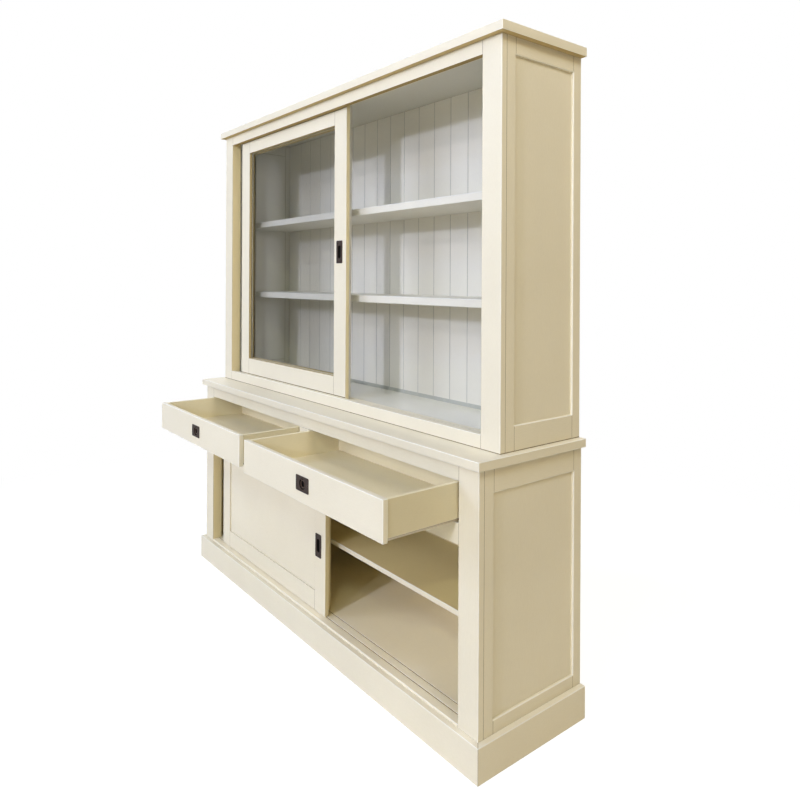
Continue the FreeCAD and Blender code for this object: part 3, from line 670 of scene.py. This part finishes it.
for side, way in WAYS.items():
    node = f"lower_post_{side}"
    settle(post(node, side, way), "carcass", "cream_paint", node)
    node = f"hutch_post_{side}"
    hutch_post = post(node, side, way)
    two_toned(hutch_post, grey_white, lambda middle, normal: looks(normal, "back"))
    foot_shadow(hutch_post, node)
    settle(hutch_post, "carcass", "cream_paint", node)

# -------- rails and mullion
# Rails tenoned between the posts, above and below the drawers and round the hutch
# opening, and the short upright between the drawers.

under_shade = shade_finish("under_shade", (0.440, 0.325, 0.135))

for node, exposed in (
    ("lower_top_rail", "front bottom"), ("lower_middle_rail", "front top bottom"),
    ("lower_mullion", "front"), ("hutch_bottom_rail", "front top"),
    ("hutch_top_rail", "front bottom"),
):
    rail = board(node, *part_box(node), cream, exposed)
    if node == "hutch_top_rail":
        shade(rail, lambda middle, normal, narrow: looks(normal, "bottom"), under_shade)
    if node == "hutch_bottom_rail":
        foot_shadow(rail, node)
    settle(rail, "carcass", "cream_paint", node)

# -------- framed sides
# Two stiles and two rails round a recessed panel, glued up and painted as one.  Hairlines
# show where the members meet, and a fine chamfer runs round the recess.

STILE = 0.040
RECESS = 0.008
CHAMFER = 0.0025
CHAMFER_INSET = 0.001
RIM = CHAMFER + HAIRLINE
SIDE_RAILS = {"lower": (0.146, 0.077), "hutch": (0.079, 0.054)}


def joined(name, *parts):
    """Several parts as one piece."""
    alone(parts[0])
    for part in parts[1:]:
        part.select_set(True)
    bpy.ops.object.join()
    parts[0].name = parts[0].data.name = name
    return parts[0]


def framed_side(node, side, way, foot_rail, top_rail):
    """A side's frame and panel, chamfered round the recess on its outer face."""
    low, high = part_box(node)
    front_y, back_y = low.y + STILE, high.y - STILE
    foot_z, top_z = low.z + foot_rail, high.z - top_rail
    outer = high.x if way > 0 else low.x

    def in_field(middle, margin):
        return (front_y - margin < middle.y < back_y + margin
                and foot_z - margin < middle.z < top_z + margin)

    def at_recess(middle):
        return abs(middle.x - outer) < TOUCH and in_field(middle, TOUCH)

    members = []
    for name, start, end, exposed in (
        ("front_stile", low, (high.x, front_y, high.z), ""),
        ("back_stile", (low.x, back_y, low.z), high, f"{side} back"),
        ("foot_rail", (low.x, front_y, low.z), (high.x, back_y, foot_z), ""),
        ("top_rail", (low.x, front_y, top_z), (high.x, back_y, high.z), ""),
    ):
        member = blank(name, start, end, cream)
        inset = -TOUCH
        if "stile" in name:
            split(member, ("top", foot_z), ("top", top_z))
            inset = CHAMFER_INSET
        choose(member, "edges", lambda middle, edge: at_recess(middle)
               and foot_z + inset < middle.z < top_z - inset)
        bpy.ops.mesh.bevel(offset=CHAMFER, affect="EDGES")
        done()
        members.append(ease(member, exposed))
    panel_low = (low.x + (RECESS if way < 0 else 0), front_y, foot_z)
    panel_high = (high.x - (RECESS if way > 0 else 0), back_y, top_z)
    framed = joined(node, *members, board("panel", panel_low, panel_high, cream))
    shade(framed, lambda middle, normal, narrow: narrow < HAIRLINE
          and looks(normal, side, 0.1) and in_field(middle, RIM), cream["z"])
    return framed


for level, rails in SIDE_RAILS.items():
    for side, way in WAYS.items():
        node = f"{level}_side_{side}"
        framed = framed_side(node, side, way, *rails)
        # The hutch sides look in with grey-white paint, the lower sides with painted shade.
        inner_face(framed, grey_white if level == "hutch" else shaded_cream, way)
        if level == "hutch":
            foot_shadow(framed, node)
        settle(framed, "carcass", "cream_paint", node)

# -------- lower back
# A thin painted sheet in a rebate behind the lower case.  The screws that hold it have
# their own section below.

# The sheet carries painted shade: the darker, warmer cream all over.
plain("lower_back", "carcass", "board_primer", shaded_cream, "back")

# -------- worktop
# A thick solid board laid over the lower case, with an overhang at the front and sides
# and all its outer edges well eased.

plain("worktop", "carcass", "cream_paint", cream, "front left right top bottom", WELL_EASED)

# -------- shelves and pins
# Loose shelves on turned steel pins: a cream one below, with painted shade in a deeper, warmer
# cream behind its front edge, and two thick grey-white ones in the hutch.

SHELF_EDGE = 0.003
METAL_DARKER = 0.88


def metal(name, colour, roughness, across):
    """Bare or plated metal with fine drawn lines and faint smears."""
    finish = Finish(name)
    lines = finish.noise(finish.stretched(across), 420, 3.0, 0.6)
    smear = finish.noise(finish.place(), 40, 3.0, 0.6)
    darker = tuple(part * METAL_DARKER for part in colour)
    return finish.out(finish.surface(
        Base_Color=finish.blend(smear, darker, colour),
        Metallic=1.0,
        Roughness=roughness + lines * 0.14 + smear * 0.08,
        Normal=finish.bump(lines, 0.12, 0.0003),
    ))


shaded_shelf_cream = painted("shaded_shelf_cream", (0.900, 0.760, 0.400), (0.90, 0.82, 0.60))
pin_steel = metal("pin_steel", (0.62, 0.62, 0.61), 0.22, (1, 12, 12))
low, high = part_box("lower_shelf")
shelf = board("lower_shelf", low, high, cream, "front top bottom", WELL_EASED)
two_toned(shelf, shaded_shelf_cream, lambda middle, normal: middle.y > low.y + SHELF_EDGE)
settle(shelf, "carcass", "cream_paint", "lower_shelf")
for node in ("hutch_shelf_lower", "hutch_shelf_upper"):
    plain(node, "carcass", "grey_white_paint", grey_white, "front top bottom", WELL_EASED)
refinished(pin_steel, "shelf_pins")

# -------- tracks
# Planed battens behind the rails, each with two grooves for the door blades.  They are
# painted cream with the frame.

refinished(cream["x"], "hutch_door_guide", "hutch_door_track", "lower_door_guide")

# -------- hutch floor
# A board on the worktop, notched round the posts and painted in a glossier coat of the hutch's
# grey-white, made lighter than the planks as painted light.

GLOSS = 0.16
lit_glossy_white = painted("gloss_white_paint", (0.900, 0.890, 0.805), (0.88, 0.88, 0.84), GLOSS)
hutch_floor = notched("hutch_floor", "hutch_post_right", lit_glossy_white)
settle(ease(hutch_floor, ""), "carcass", "grey_white_paint", "hutch_floor")

# -------- back planks
# Upright tongued boards, nailed to the hutch with a small vee at every joint and painted
# grey-white inside.  The vees and a strip along the foot are darker as painted shade.

PLANK_PITCH = 0.0987
PLANK_VEE = 0.0018
VEE_LOOKS = (0.2, 0.98)
PLANK_FOOT = 0.015
grey_shade = shade_finish("grey_shade", (0.520, 0.530, 0.475))
vee_shade = shade_finish("vee_shade", (0.560, 0.555, 0.500))

low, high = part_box("hutch_back_planks")
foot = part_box("hutch_floor")[1].z + PLANK_FOOT
planks = []
count = round((high.x - low.x) / PLANK_PITCH)
for number in range(count):
    right = high.x - number * PLANK_PITCH
    left = right - PLANK_PITCH if number < count - 1 else low.x
    plank = board(f"plank_{number}", (left, low.y, low.z), (right, high.y, high.z),
                  grey_white, "front left right", PLANK_VEE)
    split(plank, ("top", foot))
    shade(plank, lambda middle, normal, narrow: middle.z < foot and looks(normal, "front"),
          grey_shade)
    shade(plank, lambda middle, normal, narrow:
          VEE_LOOKS[0] < abs(normal.x) < VEE_LOOKS[1], vee_shade)
    planks.append(plank)
planks = joined("hutch_back_planks", *planks)
settle(planks, "carcass", "grey_white_paint", "hutch_back_planks")

# -------- cornice
# A square board over the hutch.  Its underside is the hutch's ceiling, painted between the sides
# in a darker copy of the grey-white as painted shade, and outside them with a painted shadow.

shaded_ceiling_white = painted("shaded_ceiling_white", (0.640, 0.630, 0.560), (0.72, 0.71, 0.65))
sight_shade = shade_finish("sight_shade", (0.640, 0.500, 0.250))

side_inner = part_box("hutch_side_right")[0].x
ceiling_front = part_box("hutch_top_rail")[1].y
ceiling_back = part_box("hutch_back_planks")[0].y


def in_hutch(middle):
    return abs(middle.x) < side_inner and ceiling_front < middle.y < ceiling_back


cornice = board("cornice", *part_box("cornice"), cream, "front left right top bottom", WELL_EASED)
split(cornice, ("right", side_inner), ("right", -side_inner),
      ("back", ceiling_front), ("back", ceiling_back))
two_toned(cornice, shaded_ceiling_white,
          lambda middle, normal: looks(normal, "bottom", 0.5) and in_hutch(middle))
shade(cornice, lambda middle, normal, narrow: looks(normal, "bottom", 0.9)
      and not in_hutch(middle), sight_shade)
settle(cornice, "carcass", "cream_paint", "cornice")

# -------- back screws
# Zinc-plated pan-head screws driven through the lower back into the case, in a row along
# each of its four edges.

BACK_HEAD_RADIUS = 0.0038
BACK_HEAD_RISE = 0.0022
BACK_HEAD_ROUND = 0.0012
BACK_SLOT = (0.010, 0.0008)
BACK_SLOT_FOOT = 0.0010
BACK_SLOT_TOP = 0.0030
HEAD_SIDES = 20
BACK_EDGE = 0.010
BACK_ROWS = 6
BACK_COLUMNS = 9


def rod(name, middle, radius, length, sides=32, axis="y"):
    """A round bar along an axis, about its middle."""
    turns = {"x": (0, math.pi / 2, 0), "y": (math.pi / 2, 0, 0)}
    deselect()
    bpy.ops.mesh.primitive_cylinder_add(
        vertices=sides, radius=radius, depth=length, location=middle, rotation=turns[axis]
    )
    piece = bpy.context.object
    piece.name = piece.data.name = name
    stay()
    return piece


def carve(piece, tool, operation="DIFFERENCE"):
    """Cuts a tool out of a piece, or adds it, and removes the tool."""
    modified(piece, "BOOLEAN", operation=operation, solver="EXACT", object=tool)
    bpy.data.objects.remove(tool)
    return piece


def round_rim(piece, test, radius, steps=2):
    """Rounds the chosen edges of a piece."""
    choose(piece, "edges", test)
    bpy.ops.mesh.bevel(offset=radius, segments=steps, affect="EDGES")
    done()


low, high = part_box("lower_back")
head = rod("back_screw", (0, high.y + BACK_HEAD_RISE / 2, 0), BACK_HEAD_RADIUS,
           BACK_HEAD_RISE, HEAD_SIDES)
round_rim(head, lambda middle, edge: middle.y > high.y + BACK_HEAD_RISE - TOUCH,
          BACK_HEAD_ROUND, 3)
half_long, half_wide = BACK_SLOT[0] / 2, BACK_SLOT[1] / 2
carve(head, blank("blade", (-half_long, high.y + BACK_SLOT_FOOT, -half_wide),
                  (half_long, high.y + BACK_SLOT_TOP, half_wide)))
left, right = low.x + BACK_EDGE, high.x - BACK_EDGE
foot, top = low.z + BACK_EDGE, high.z - BACK_EDGE
places = [(x, foot + (top - foot) * row / (BACK_ROWS - 1))
          for row in range(BACK_ROWS) for x in (left, right)]
places += [(left + (right - left) * column / (BACK_COLUMNS - 1), z)
           for column in range(1, BACK_COLUMNS - 1) for z in (foot, top)]
heads = []
for x, z in places:
    alone(head)
    bpy.ops.object.duplicate()
    bpy.ops.transform.translate(value=(x, 0, z))
    stay()
    heads.append(bpy.context.object)
bpy.data.objects.remove(head)
back_screws = joined("lower_back_screws", *heads)
back_screws.data.materials.append(pin_steel)
settle(back_screws, "carcass", "pin_steel")

# -------- lower doors
# Sliding doors: two stiles the full height with two rails between them, round a thin flat
# panel.  Each slides on nylon shoes and is steadied by blades above.

LOWER_DOOR_FRAME = 0.077
DOOR_EDGE = 0.001
CUP_SIZE = (0.027, 0.060)
CUP_DEPTH = 0.010
HOUSING_GAP = 0.0003
HOUSING_START = 0.001
NYLON = (0.80, 0.80, 0.78)
NYLON_WORN = (0.72, 0.72, 0.69)


def nylon_finish():
    """Moulded nylon, slightly grey where it slides."""
    finish = Finish("nylon")
    cloud = finish.noise(finish.place(), 70, 3.0)
    fine = finish.noise(finish.place(), 700, 1.0)
    return finish.out(finish.surface(
        Base_Color=finish.blend(cloud, NYLON_WORN, NYLON),
        Roughness=0.42 + cloud * 0.15,
        Normal=finish.bump(fine, 0.15, 0.0003),
    ))


def centred(name):
    """A node's box, and the middle of its face across and up."""
    low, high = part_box(name)
    return low, high, (low.x + high.x) / 2, (low.z + high.z) / 2


def slot_housing(name, door_face):
    """The hole in a stile that a flush pull's cup sits in."""
    _, _, x, z = centred(name)
    wide, tall = (size / 2 + HOUSING_GAP for size in CUP_SIZE)
    return blank("housing", (x - wide, door_face - HOUSING_START, z - tall),
                 (x + wide, door_face + CUP_DEPTH + HOUSING_GAP, z + tall))


def surround(low, high, width):
    """The corners of two uprights, left and right, and of the foot and top between them."""
    left, right, foot, top = low.x + width, high.x - width, low.z + width, high.z - width
    return (
        (low, Vector((left, high.y, high.z))),
        (Vector((right, low.y, low.z)), high),
        (Vector((left, low.y, low.z)), Vector((right, high.y, foot))),
        (Vector((left, low.y, top)), Vector((right, high.y, high.z))),
    )


def door_frame(door, width, rebate=None):
    """Four members, each with the axis and way its inner edge looks, as one frame.  The
    pull's housing is cut into the right stile."""
    low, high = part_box(f"{door}_frame")
    depth, reach = rebate or (0, 0)
    members = []
    for (name, axis, way, exposed), (start, end) in zip((
        ("left_stile", 0, 1, "left front back top bottom"),
        ("right_stile", 0, -1, "right front back top bottom"),
        ("foot_rail", 2, 1, "front back bottom"), ("top_rail", 2, -1, "front back top"),
    ), surround(low, high, width)):
        face_end = (end.x, start.y + depth, end.z) if rebate else end
        member = blank(f"{door}_{name}", start, face_end, cream)
        if rebate:
            line = (end if way > 0 else start)[axis] - reach * way
            split(member, ("top" if axis else "right", line))
            pull_out(member, lambda middle, normal: looks(normal, "back")
                     and (middle[axis] - line) * way < 0, (0, end.y - start.y - depth, 0))
        ease(member, exposed)
        if name == "right_stile":
            carve(member, slot_housing(f"{door}_pull", low.y))
        members.append(member)
    return joined(f"{door}_frame", *members)


nylon = nylon_finish()

for door in ("lower_front_door", "lower_rear_door"):
    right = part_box(f"{door}_frame")[1].x
    framed = door_frame(door, LOWER_DOOR_FRAME)
    # Painted shade: darker, warmer cream on the rear door, the backs and the front door's right
    # edge.
    two_toned(framed, shaded_cream,
              lambda middle, normal: "rear" in door or looks(normal, "back")
              or (looks(normal, "right", 0.5) and middle.x > right - DOOR_EDGE))
    settle(framed, door, "cream_paint", f"{door}_frame")
    plain(f"{door}_panel", door, "cream_paint", cream)
    refinished(nylon, f"{door}_gliders")

# -------- upper doors
# As the lower ones, with a pane of clear glass laid in from behind and held by beads.
# The faces that look into the hutch are grey-white.

UPPER_DOOR_FRAME = 0.085
REBATE = (0.012, 0.008)
RAIL_SHADOW = 0.0025
FRAME_EDGE = 0.01
BEAD_EASED = 0.001
GLASS = (0.095, 0.108, 0.100)
GLASS_DARKER = (0.060, 0.070, 0.064)


def glass_finish():
    """Clear float glass: faintly green, more mirror-like at a slant, with wiping streaks."""
    finish = Finish("clear_glass")
    streak = finish.noise(finish.stretched((3, 1, 0.6)), 9, 3.0, 0.6)
    slant = finish.add("ShaderNodeLayerWeight", {"Blend": 0.5}, "Facing")
    return finish.out(finish.surface(
        Base_Color=finish.blend(streak, GLASS_DARKER, GLASS),
        Metallic=1.0,
        Roughness=0.03 + streak * 0.03,
        Alpha=0.030 + streak * 0.010 + slant ** 5 * 0.85,
    ))


def rail_shadows(framed):
    """Painted shadow lines across a door's front where it stands close behind the hutch's rails.
    """
    foot_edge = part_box("hutch_bottom_rail")[1].z + RAIL_SHADOW
    top_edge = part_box("hutch_top_rail")[0].z - RAIL_SHADOW
    split(framed, ("top", foot_edge), ("top", top_edge))
    shade(framed, lambda middle, normal, narrow: looks(normal, "front")
          and not foot_edge < middle.z < top_edge)


clear_glass = glass_finish()

for door in ("upper_front_door", "upper_rear_door"):
    low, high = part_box(f"{door}_frame")
    rear = "rear" in door
    framed = door_frame(door, UPPER_DOOR_FRAME, REBATE)
    two_toned(framed, grey_white, lambda middle, normal: looks(normal, "back")
              or (rear and looks(normal, "right", 0.5) and middle.x > high.x - DOOR_EDGE))
    # Painted shade: darker cream on edges, sight edges and the rear door's front; painted shadow
    # on sight edges.
    two_toned(framed, shaded_cream,
              lambda middle, normal: normal.y < 0.3 and low.x + FRAME_EDGE < middle.x
              and (normal.y > -0.5 or rear)
              and (middle.x < high.x - FRAME_EDGE or (normal.x > 0.5 and not rear)))
    shade(framed, lambda middle, normal, narrow: abs(normal.y) < 0.3
          and low.x + FRAME_EDGE < middle.x < high.x - FRAME_EDGE
          and low.z + FRAME_EDGE < middle.z < high.z - FRAME_EDGE, sight_shade)
    if not rear:
        rail_shadows(framed)
    settle(framed, door, "cream_paint", f"{door}_frame")

    plain(f"{door}_glass", door, "clear_glass", dict.fromkeys("xyz", clear_glass))

    beads = [
        board("bead", *corners, cream, "back left right top bottom", BEAD_EASED)
        for corners in surround(*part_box(f"{door}_beads"), REBATE[1])
    ]
    settle(joined(f"{door}_beads", *beads), door, "cream_paint", f"{door}_beads")
    refinished(nylon, f"{door}_gliders")

# -------- flush pulls
# Cast pulls in dark bronze, let into the doors' stiles: a plate with a raised rim, a long
# slot that opens into a cup, and a slotted dome-head screw at each end.

PULL_THICK = 0.002
PULL_CORNER = 0.004
PULL_ROUND = 0.0006
PULL_RIM = 0.003
PULL_SUNK = 0.0007
CUP_FLOOR = 0.0015
CUP_LAP = 0.0005
CUT_START = 0.001
SLOT_SIZE = (0.021, 0.054)
SLOT_ROUNDS = (0.0004, 0.0014)
SHADE_START = 0.0015
SCREW_RADIUS = 0.0032
SCREW_RISE = 0.0006
SCREW_ROUND = 0.0005
SCREW_SLOT = (0.008, 0.0008)
SCREW_SLOT_TOP = 0.0005
SCREW_SLOT_FOOT = 0.0002
SLOT_SCREWS = 0.037
BRONZE = (0.018, 0.010, 0.007)
BRONZE_LIGHTER = (0.040, 0.023, 0.016)
BRONZE_RUBBED = (0.15, 0.090, 0.058)


def bronze():
    """Dark bronze: brown in the hollows, a little brighter and smoother where hands wear its
    edges.
    """
    finish = Finish("dark_bronze")
    around = finish.place()
    cloud = finish.noise(around, 90, 4.0, 0.65)
    fine = finish.noise(around, 900)
    worn = finish.rubbed() * (cloud * 1.2)
    base = finish.blend(cloud, BRONZE, BRONZE_LIGHTER)
    return finish.out(finish.surface(
        Base_Color=finish.blend(worn * 0.7, base, BRONZE_RUBBED),
        Metallic=0.25,
        Roughness=0.50 + fine * 0.12 - worn * 0.16,
        Specular_IOR_Level=0.3,
        Normal=finish.bump(fine * 0.6 + cloud * 0.4, 0.25, 0.0003),
    ))


def long_slot(name, middle, size, length):
    """A bar with two round ends, upright."""
    radius = size[0] / 2
    bar = rod(name, middle, radius, length)
    straight = size[1] / 2 - radius
    for way in WAYS.values():
        shift(bar, "points", lambda point, _: (point.z - middle[2]) * way > TOUCH,
              (0, 0, straight * way))
    return bar


def slotted_screw(x, z, face):
    """A dome head on the face with a slot across it."""
    top = face - SCREW_RISE
    head = rod("screw", (x, face - SCREW_RISE / 2, z), SCREW_RADIUS, SCREW_RISE, HEAD_SIDES)
    round_rim(head, lambda middle, edge: middle.y < top + TOUCH, SCREW_ROUND, 3)
    half_long, half_wide = SCREW_SLOT[0] / 2, SCREW_SLOT[1] / 2
    blade = blank("blade", (x - half_long, top - SCREW_SLOT_TOP, z - half_wide),
                  (x + half_long, face - SCREW_SLOT_FOOT, z + half_wide))
    return carve(head, blade)


def pull_plate(low, high):
    """A plate with rounded corners and a sunk field inside its rim."""
    plate = blank("plate", low, (high.x, low.y + PULL_THICK, high.z))
    points = [point.co.y for point in plate.data.vertices]
    through = {edge.key for edge in plate.data.edges
               if abs(points[edge.key[0]] - points[edge.key[1]]) > NEAR}
    round_rim(plate, lambda middle, edge: edge.key in through, PULL_CORNER, 5)
    round_rim(plate, lambda middle, edge: middle.y < low.y + TOUCH, PULL_ROUND)
    choose(plate, "faces", lambda middle, normal: looks(normal, "front", 0.99))
    bpy.ops.mesh.inset(thickness=PULL_RIM - PULL_ROUND)
    bpy.ops.mesh.extrude_region_move(TRANSFORM_OT_translate={"value": (0, PULL_SUNK, 0)})
    done()
    return plate


def cup_levels(low):
    """Where a pull meets the wood, and where its cup's bottom lies."""
    wood = low.y + PULL_THICK
    return wood, wood + CUP_DEPTH - CUP_FLOOR


def cup_pull(name, body, cup, cut, in_cut, rounds, screws, *holes):
    """A plate with a cup behind it, opened by a cut with rounded rims, and its screws."""
    low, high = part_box(name)
    field = low.y + PULL_SUNK
    _, bottom = cup_levels(low)
    pull = carve(pull_plate(low, high), cup, "UNION")
    carve(pull, cut)
    round_rim(pull, lambda middle, edge: abs(middle.y - field) < TOUCH and in_cut(middle),
              rounds[0])
    round_rim(pull, lambda middle, edge: abs(middle.y - bottom) < TOUCH, rounds[1], 3)
    for hole in holes:
        carve(pull, hole)
    heads = [slotted_screw(x, z, field) for x, z in screws]
    pull = joined(name, pull, *heads)
    pull.data.materials.append(dark_bronze)
    shade(pull, lambda middle, normal, narrow: low.y + SHADE_START < middle.y < bottom + NEAR
          and in_cut(middle), cup_shade)
    settle(pull, body, "dark_bronze", name)


dark_bronze = bronze()
cup_shade = shade_finish("cup_shade", (0.010, 0.008, 0.007))

for door in ("lower_front_door", "lower_rear_door", "upper_front_door", "upper_rear_door"):
    low, high, x, z = centred(f"{door}_pull")
    wood, bottom = cup_levels(low)
    wide, tall = CUP_SIZE[0] / 2, CUP_SIZE[1] / 2

    def in_slot(middle):
        return (abs(middle.x - x) < SLOT_SIZE[0] / 2 + NEAR
                and abs(middle.z - z) < SLOT_SIZE[1] / 2 + NEAR)

    cup_pull(
        f"{door}_pull", door,
        blank("cup", (x - wide, wood - CUP_LAP, z - tall),
              (x + wide, wood + CUP_DEPTH, z + tall)),
        long_slot("slot", (x, (low.y - CUT_START + bottom) / 2, z), SLOT_SIZE,
                  bottom - low.y + CUT_START),
        in_slot, SLOT_ROUNDS, [(x, z + way * SLOT_SCREWS) for way in WAYS.values()],
    )

# -------- drawers
# A false front on a box of thin boards, with the bottom let in above the sides' lower edge.  The
# front is cream with a round housing for the pull's cup; the box carries painted shade, a warmer
# cream and, on its outer faces, a darker one.

DRAWER_SIDE = 0.012
DRAWER_BOTTOM = (0.733, 0.739)
OUTSIDE_SKIN = 0.003
RING_CUP = 0.022
CUP_SIDES = 48
shaded_side_cream = painted("drawer_side_cream", (0.700, 0.630, 0.430), (0.82, 0.76, 0.58))
shaded_box_cream = painted("shaded_drawer_cream", (0.860, 0.778, 0.545), (0.91, 0.86, 0.70))

for drawer in ("left_drawer", "right_drawer"):
    low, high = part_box(f"{drawer}_front")
    _, _, x, z = centred(f"{drawer}_pull")
    front = board(f"{drawer}_front", low, high, cream, "front back left right top bottom",
                  WELL_EASED)
    reach = CUP_DEPTH + HOUSING_GAP + HOUSING_START
    carve(front, rod("housing", (x, low.y - HOUSING_START + reach / 2, z),
                     RING_CUP + HOUSING_GAP, reach, CUP_SIDES))
    settle(front, drawer, "cream_paint", f"{drawer}_front")

    low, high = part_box(f"{drawer}_box")
    left, right = low.x + DRAWER_SIDE, high.x - DRAWER_SIDE
    back = high.y - DRAWER_SIDE
    boards = [
        board(f"{name}_board", start, end, shaded_box_cream, exposed)
        for name, start, end, exposed in (
            ("left", low, (left, high.y, high.z), "left right top bottom back"),
            ("right", (right, low.y, low.z), high, "left right top bottom back"),
            ("back", (left, back, low.z), (right, high.y, high.z), "front back top bottom"),
            ("bottom", (left, low.y, DRAWER_BOTTOM[0]), (right, back, DRAWER_BOTTOM[1]), ""),
        )
    ]
    box = joined(f"{drawer}_box", *boards)
    two_toned(box, shaded_side_cream, lambda middle, normal:
              not low.x + OUTSIDE_SKIN < middle.x < high.x - OUTSIDE_SKIN)
    settle(box, drawer, "cream_paint", f"{drawer}_box")

# -------- ring pulls
# A bronze plate with a round cup, a ring on a pin across the cup's top, and a slotted
# screw at each side.

RING_RECESS = 0.018
RECESS_MARGIN = 0.0002
RECESS_ROUNDS = (0.0005, 0.002)
RING_SCREWS = 0.030
RING_WIRE = 0.0017
WIRE_SIDES = 14
RING_RADIUS = 0.012
PIN_RADIUS = 0.0014
PIN_GAP = 0.0003
PIN_LENGTH = 0.032
PIN_SIDES = 16
KNUCKLE_RADIUS = RING_WIRE * 1.25
KNUCKLE_LENGTH = 0.006
KNUCKLE_ROUND = 0.0005

for drawer in ("left_drawer", "right_drawer"):
    low, high, x, z = centred(f"{drawer}_pull")
    wood, bottom = cup_levels(low)
    ring_low, ring_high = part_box(f"{drawer}_ring")
    ring_y = (ring_low.y + ring_high.y) / 2
    pin_z = z + RING_RADIUS

    def in_recess(middle):
        reach = RING_RECESS + RECESS_MARGIN
        return (middle.x - x) ** 2 + (middle.z - z) ** 2 < reach ** 2

    cup_pull(
        f"{drawer}_pull", drawer,
        rod("cup", (x, wood + (CUP_DEPTH - CUP_LAP) / 2, z), RING_CUP, CUP_DEPTH + CUP_LAP,
            CUP_SIDES),
        rod("recess", (x, (low.y - CUT_START + bottom) / 2, z), RING_RECESS,
            bottom - low.y + CUT_START, CUP_SIDES),
        in_recess, RECESS_ROUNDS, [(x + way * RING_SCREWS, z) for way in WAYS.values()],
        rod("pin_hole", (x, ring_y, pin_z), PIN_RADIUS + PIN_GAP, PIN_LENGTH + PIN_GAP * 2,
            PIN_SIDES, "x"),
    )

    deselect()
    bpy.ops.mesh.primitive_torus_add(
        location=(x, ring_y, z), rotation=(math.pi / 2, 0, 0), major_radius=RING_RADIUS,
        minor_radius=RING_WIRE, major_segments=CUP_SIDES, minor_segments=WIRE_SIDES,
    )
    ring = bpy.context.object
    stay()
    pin = rod("pin", (x, ring_y, pin_z), PIN_RADIUS, PIN_LENGTH, PIN_SIDES, "x")
    knuckle = rod("knuckle", (x, ring_y, pin_z), KNUCKLE_RADIUS, KNUCKLE_LENGTH, HEAD_SIDES, "x")
    round_rim(knuckle,
              lambda middle, edge: abs(abs(middle.x - x) - KNUCKLE_LENGTH / 2) < TOUCH,
              KNUCKLE_ROUND)
    ring = joined(f"{drawer}_ring", ring, pin, knuckle)
    ring.data.materials.append(dark_bronze)
    settle(ring, f"{drawer}_ring_hinge", "dark_bronze", f"{drawer}_ring")

# -------- drawer runners
# Zinc-plated steel: a channel on each bearer, and a member under each drawer side that
# runs in it.

runner_steel = metal("runner_steel", (0.46, 0.40, 0.29), 0.50, (12, 1, 12))
refinished(runner_steel, "cabinet_runners", "left_drawer_runners", "right_drawer_runners")
